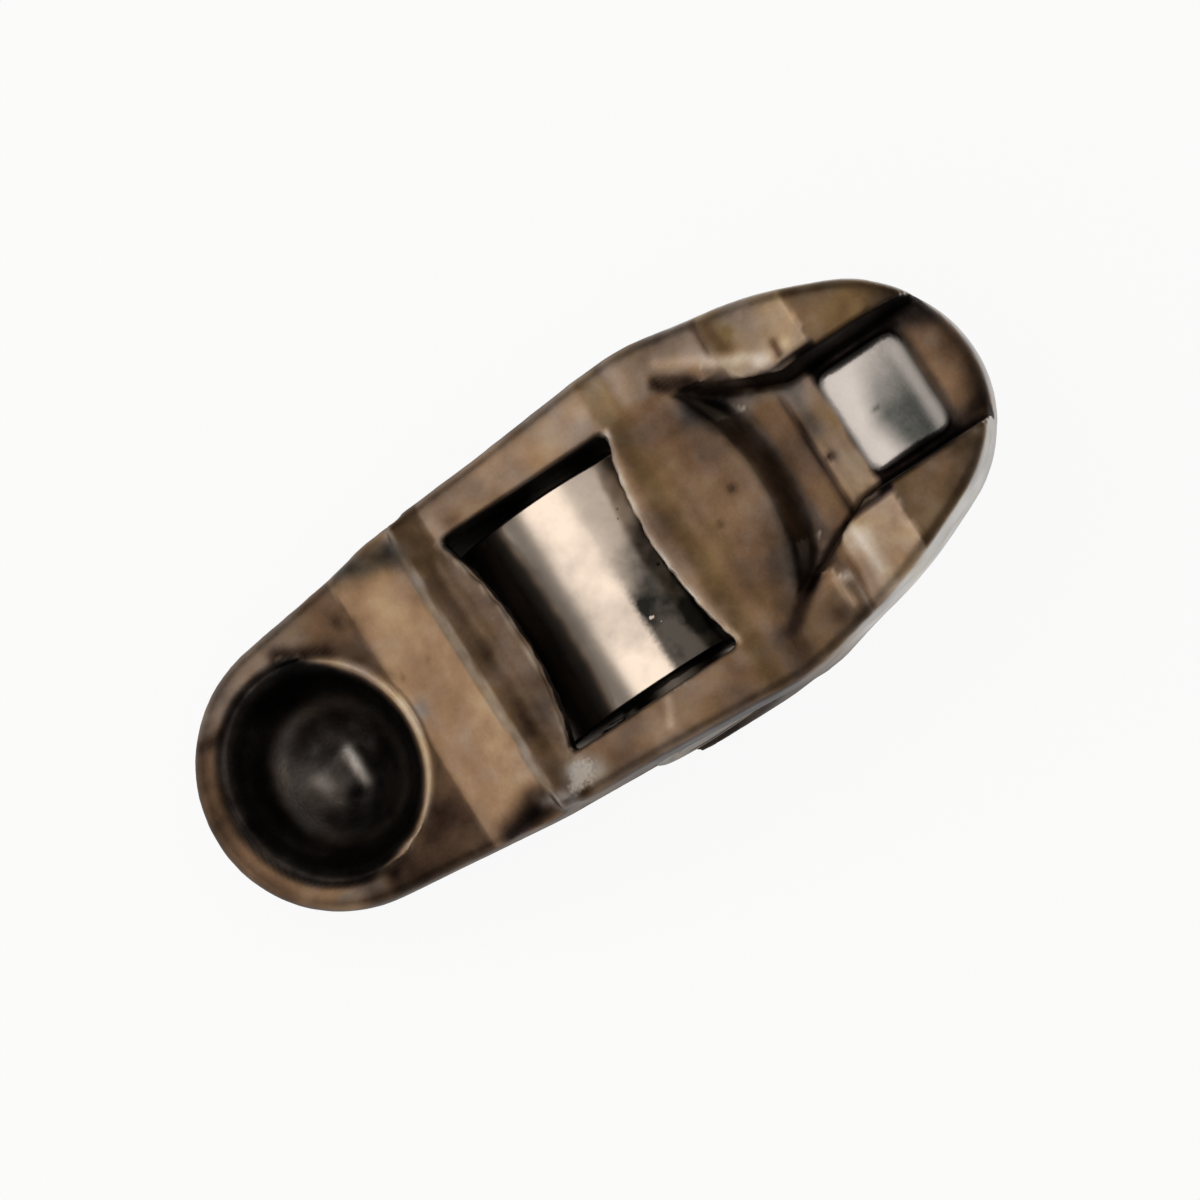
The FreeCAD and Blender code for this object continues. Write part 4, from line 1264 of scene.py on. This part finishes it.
    def walls(self, lever: np.ndarray, turned: np.ndarray) -> np.ndarray:
        """Paints the upright surfaces: browned outside, bare towards the valve end, and painted shade inside
        the arm, the channel and the window.

        Args:
            lever: The skin's points in the lever's axes.
            turned: Its outward directions in the same axes.

        Returns:
            Rows of tone, olive and grey.
        """
        u, y, w = lever.T
        side = np.abs(y)
        bare = ramp_step(u, *BORDER.bare_steel)
        tone, grey = self.wall_tone + self.bare_tone * bare, self.wall_grey + self.bare_grey * bare
        paint = np.stack([tone, 0 * u, grey])
        tip = ramp_step(u, *BORDER.tip) * (1 - ramp_step(side, *BORDER.tip_side))
        floor = self.floor_tone - self.platform_shade * ramp_step(u, *BORDER.platform) + self.tip_tone * tip
        towards_middle = turned[:, 0] * (u - np.clip(u, *self.inner_wall)) + turned[:, 1] * y < 0
        inward = towards_middle | (turned[:, 2] < -0.3) & (w > self.inner_wall_depth)
        channel = ramp_step(u, *BORDER.channel) * (1 - ramp_step(side, *BORDER.channel_side))
        channel *= ramp_step(w, *BORDER.channel_depth)
        channel *= inward | (side < self.channel_half_width) & (u < self.channel_end)
        inside_shade = inward * (1 - ramp_step(w, *BORDER.inside_shade_depth))
        past_start, past_end = self.window.past_ends(u, y)
        in_window = ramp_step(past_start, *BORDER.past_window_start)
        in_window *= 1 - ramp_step(past_end, *BORDER.past_window_end)
        in_window *= (1 - ramp_step(side, *BORDER.window_side)) * (1 - ramp_step(w, *BORDER.window_depth))
        lay(paint, self.boss(u, y), tone=0.24, grey=0.4)
        lay(paint, channel, floor, grey=0.3)
        # Painted shade: the faces inside the hollow arm are painted near black
        lay(paint, inside_shade, tone=0.05, grey=0.2)
        # Painted shade: the walls inside the window are painted near black; its end wall is painted pale, bare
        # sheared steel
        lay(paint, in_window, tone=0.06, grey=0.4)
        lay(paint, in_window * ramp_step(past_end, *BORDER.end_wall), tone=0.62, grey=0.7)
        return paint

    @staticmethod
    def boss(u: np.ndarray, y: np.ndarray) -> np.ndarray:
        """Where the raised pads of the two ears are."""
        along = ramp_step(u, *BORDER.boss_start) * (1 - ramp_step(u, *BORDER.boss_end))
        return ramp_step(np.abs(y), *BORDER.boss_side) * along

    @staticmethod
    def write(mesh: Mesh, name: str, channels: tuple[np.ndarray, ...]) -> None:
        """Stores three values a point as a colour attribute.

        Args:
            mesh: The skin.
            name: The attribute's name.
            channels: The values.
        """
        layer = mesh.color_attributes.new(name, "FLOAT_COLOR", "POINT")
        values = np.ones((len(mesh.vertices), 4))
        for k, channel in enumerate(channels):
            values[:, k] = channel
        layer.data.foreach_set("color", values.ravel())


# The turned pieces and the needles


@dataclass(frozen=True)
class Turned:
    """A piece turned round the axle's line.

    Its profile is a list of (radius, place along the axle) in millimetres.
    """

    name: str
    body: str
    node: str
    profile: tuple[Pair, ...]
    closed: bool
    finish: RollingSteel
    slot: Slot
    rounded_mm: float = 0.0
    steps: int = 192
    merge_mm: float = 0.0005
    crisp_deg: float = 35.0
    rim_angle: float = 1.0
    rim_reach_mm: float = 0.01
    rim_segments: int = 5

    def build(self) -> Piece:
        """Spins the profile and dresses the piece.

        Returns:
            The piece.
        """
        net = bmesh.new()
        points = [net.verts.new((LEVER.axis.x + r * MM, a * MM, LEVER.axis.z)) for r, a in self.profile]
        pairs = list(zip(points, points[1:])) + ([(points[-1], points[0])] if self.closed else [])
        edges = [net.edges.new(pair) for pair in pairs]
        bmesh.ops.spin(
            net,
            geom=points + edges,
            cent=LEVER.axis,
            axis=(0, 1, 0),
            angle=2 * math.pi,
            steps=self.steps,
            use_merge=True,
        )
        bmesh.ops.remove_doubles(net, verts=net.verts, dist=self.merge_mm * MM)
        bmesh.ops.recalc_face_normals(net, faces=net.faces)
        if self.rounded_mm:
            self.round_rim(net)
        mesh = bpy.data.meshes.new(self.name)
        net.to_mesh(mesh)
        net.free()
        mesh.shade_smooth()
        mesh.set_sharp_from_angle(angle=math.radians(self.crisp_deg))
        piece = finished(self.name, mesh, self.finish.material())
        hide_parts(self.node)
        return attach(piece, self.body)

    def round_rim(self, net: bmesh.types.BMesh) -> None:
        """Rounds the hoops where the outer face meets the end faces.

        Args:
            net: The spun piece, changed in place.
        """
        outer = max(r for r, _ in self.profile) * MM
        hoops = [
            e
            for e in net.edges
            if e.calc_face_angle(0) > self.rim_angle
            and all(abs((v.co - LEVER.axis).xz.length - outer) < self.rim_reach_mm * MM for v in e.verts)
        ]
        bmesh.ops.bevel(
            net,
            geom=hoops,
            offset=self.rounded_mm * MM,
            offset_type="OFFSET",
            affect="EDGES",
            segments=self.rim_segments,
            profile=0.5,
            material=-1,
        )


RING_BORE_RADIUS = 5.505
RING_BORE_CHAMFER = 0.1
RING_ROUNDING = 0.2
PUNCHED_GROOVE = ((0.0, 0.0), (2.35, 0.0), (2.5, 0.2), (2.7, 0.3), (2.9, 0.2), (3.05, 0.0))
SPREAD_EDGE = ((0.35, 0.0), (0.12, 0.1), (0.0, 0.35))


def round_size(node: str) -> Pair:
    """The radius and half the length of a round solid about the axle's line, in millimetres."""
    low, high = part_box(node)
    return (high.z - low.z) / 2 / MM, high.y / MM


def roller_ring() -> Turned:
    """Draws the roller ring, sized from its solid, with its bore's edges broken.

    Returns:
        The piece, ready to build.
    """
    radius, half = round_size("roller")
    bore, chamfer = RING_BORE_RADIUS, RING_BORE_CHAMFER
    outside = ((bore + chamfer, -half), (radius, -half), (radius, half), (bore + chamfer, half))
    inside = ((bore, half - chamfer), (bore, chamfer - half))
    return Turned(
        name="roller_ring",
        body="roller_ring",
        node="roller",
        profile=outside + inside,
        closed=True,
        finish=ROLLER_STEEL,
        slot=Slot.ROLLER,
        rounded_mm=RING_ROUNDING,
    )


def axle_pin() -> Turned:
    """Draws the axle, sized from its solid, with a punched ring and a spread edge at both ends.

    Returns:
        The piece, ready to build.
    """
    radius, half = round_size("axle")
    end = [(r, half - depth) for r, depth in PUNCHED_GROOVE]
    end += [(radius - in_from_edge, half - depth) for in_from_edge, depth in SPREAD_EDGE]
    return Turned(
        name="axle_pin",
        body="lever",
        node="axle",
        profile=tuple(end + [(r, -a) for r, a in reversed(end)]),
        closed=False,
        finish=AXLE_STEEL,
        slot=Slot.AXLE,
    )


@dataclass(frozen=True)
class NeedleSet:
    """The full complement of needle rollers, which keep their solids."""

    prefix: str = "needle_"

    def dress(self) -> list[Piece]:
        """Gives every needle its ground finish.

        Returns:
            The needles.
        """
        material = NEEDLE_STEEL.material()
        needles = [node for name, node in sorted(frame["nodes"].items()) if name.startswith(self.prefix)]
        for needle in needles:
            needle.data.materials.clear()
            needle.data.materials.append(material)
        return needles


# The bench, the light and the camera


def facing(back: Vector, across: Vector, place: Vector) -> Matrix:
    """The place and turn of a lamp or a camera that looks away from back."""
    turn = Matrix((across, back.cross(across), back)).transposed()
    return Matrix.Translation(place) @ turn.to_4x4()


@dataclass(frozen=True)
class Lamp:
    """A soft lamp: where it stands round the arm, how large it is and how bright its face looks."""

    name: str
    lean_deg: float
    side_deg: float
    distance: float
    width: float
    length: float
    brightness: float
    colour: str = "FFFAF4"
    aim_mm: tuple[float, float, float] = (17.5, 0.0, 0.0)

    def build(self) -> Piece:
        """Places the lamp, its face towards the arm's middle.

        Returns:
            The lamp.
        """
        lean, side = math.radians(self.lean_deg), math.radians(self.side_deg)
        out = np.array([[math.sin(lean), math.tan(side), math.cos(lean)]])
        back = Vector(LEVER.turn_to_world(out)[0]).normalized()
        across = Vector((0, 1, 0)).cross(back).normalized()
        data = bpy.data.lights.new(self.name, "AREA")
        data.shape = "RECTANGLE"
        data.size, data.size_y = self.width, self.length
        data.energy = self.brightness * math.pi * self.width * self.length
        data.color = linear(self.colour)[:3]
        lamp = bpy.data.objects.new(self.name, data)
        lamp.matrix_world = facing(back, across, LEVER.to_world(self.aim_mm) + back * self.distance)
        bpy.context.scene.collection.objects.link(lamp)
        return lamp


@dataclass(frozen=True)
class PhotoCamera:
    """The photograph's view: nearly straight down on the arm, which rises to the upper right."""

    aim_mm: tuple[float, float, float] = (18.536, -0.744, 0.0)
    tilt_along_deg: float = 8.0
    tilt_across_deg: float = 7.0
    roll_deg: float = 33.112
    distance: float = 0.30
    view_width: float = 0.066157
    sensor_mm: float = 36.0

    def build(self) -> Piece:
        """Makes the camera and the scene's camera of it.

        Returns:
            The camera.
        """
        along = math.tan(math.radians(self.tilt_along_deg))
        across = math.tan(math.radians(self.tilt_across_deg))
        back = Vector(LEVER.turn_to_world(np.array([[along, -across, 1.0]]))[0]).normalized()
        roll = math.radians(self.roll_deg)
        right = Vector(LEVER.turn_to_world(np.array([[math.cos(roll), -math.sin(roll), 0.0]]))[0])
        right = (right - back * right.dot(back)).normalized()
        data = bpy.data.cameras.new("photo_camera")
        data.sensor_width = self.sensor_mm
        data.lens = self.sensor_mm * self.distance / self.view_width
        data.clip_start, data.clip_end = 0.01, 10.0
        camera = bpy.data.objects.new("photo_camera", data)
        camera.matrix_world = facing(back, right, LEVER.to_world(self.aim_mm) + back * self.distance)
        bpy.context.scene.collection.objects.link(camera)
        bpy.context.scene.camera = camera
        return camera


@dataclass(frozen=True)
class Bench:
    """A plain pale bench top, a soft sky and the lamps.

    The shade is the half length and the half width of the ground under the part that shows no glow in it.
    """

    reach: float = 3.0
    sky: str = "7E7C79"
    top: str = "F2F1EF"
    glow_colour: str = "FFFFFF"
    glow: float = 0.92
    shade: Pair = (0.024, 0.010)
    shade_border: Pair = (0.85, 1.7)
    lamps: tuple[Lamp, ...] = (
        Lamp("key_softbox", -12.0, 4.0, 0.45, 0.33, 0.60, 1.5),
        Lamp("right_fill", 33.0, 4.0, 0.60, 0.52, 0.60, 0.62),
        Lamp("left_fill", -67.0, 4.0, 0.60, 0.26, 0.60, 2.0),
    )

    def build(self) -> None:
        """Makes the bench top, the lamps and the sky."""
        net = bmesh.new()
        bmesh.ops.create_grid(net, x_segments=4, y_segments=4, size=self.reach)
        mesh = bpy.data.meshes.new("bench_top")
        net.to_mesh(mesh)
        net.free()
        top = bpy.data.objects.new("bench_top", mesh)
        bpy.context.scene.collection.objects.link(top)
        mesh.materials.append(self.laminate())
        for lamp in self.lamps:
            lamp.build()
        world = bpy.data.worlds.new("soft_sky")
        bpy.context.scene.world = world
        world.use_nodes = True
        background = world.node_tree.nodes["Background"]
        background.inputs["Color"].default_value = linear(self.sky)
        background.inputs["Strength"].default_value = 1.0

    def laminate(self) -> bpy.types.Material:
        """Builds a matt white laminate that looks paler to the camera and in reflections away from the part.

        Returns:
            The material.
        """
        made, tree = new_material("matt_white_laminate")
        path = add(tree, "LightPath").outputs
        source = add(tree, "TexCoord").outputs["Object"]
        sizes = {"Vector": source, "Scale": (1 / self.shade[0], 1 / self.shade[1], 0.0)}
        from_part = add(tree, "Mapping", sizes).outputs[0]
        from_part = add(tree, "VectorMath", {0: from_part}, operation="LENGTH").outputs["Value"]
        low, high = self.shade_border
        open_bench = add(tree, "MapRange", {0: from_part, 1: low, 2: high}, **SMOOTH).outputs[0]
        mirrored = {0: path["Is Glossy Ray"], 1: path["Is Transmission Ray"]}
        mirrored = add(tree, "Math", mirrored, operation="MAXIMUM").outputs[0]
        mirrored = add(tree, "Math", {0: mirrored, 1: open_bench}, operation="MULTIPLY").outputs[0]
        seen = add(tree, "Math", {0: path["Is Camera Ray"], 1: mirrored}, operation="MAXIMUM").outputs[0]
        share = add(tree, "Math", {0: seen, 1: self.glow}, operation="MULTIPLY").outputs[0]
        matt = add(tree, "BsdfDiffuse", {"Color": linear(self.top)}).outputs[0]
        glow = add(tree, "Emission", {"Color": linear(self.glow_colour), "Strength": 1.0}).outputs[0]
        mixed = add(tree, "MixShader", {0: share, 1: matt, 2: glow}).outputs[0]
        tree.links.new(mixed, add(tree, "OutputMaterial").inputs[0])
        return made


def set_view() -> None:
    """Standard colours, with every other view setting at its default."""
    bpy.context.scene.view_settings.view_transform = "Standard"


def main() -> None:
    """Builds and dresses every piece, then the bench and the camera."""
    logging.basicConfig(level=logging.INFO, format="%(message)s")
    set_view()
    for maker in (ArmSkin(), roller_ring(), axle_pin()):
        piece = maker.build()
        log.info("%s: %d faces", piece.name, len(piece.data.polygons))
    log.info("%d needle rollers dressed", len(NeedleSet().dress()))
    Bench().build()
    PhotoCamera().build()


if __name__ == "__main__":
    main()
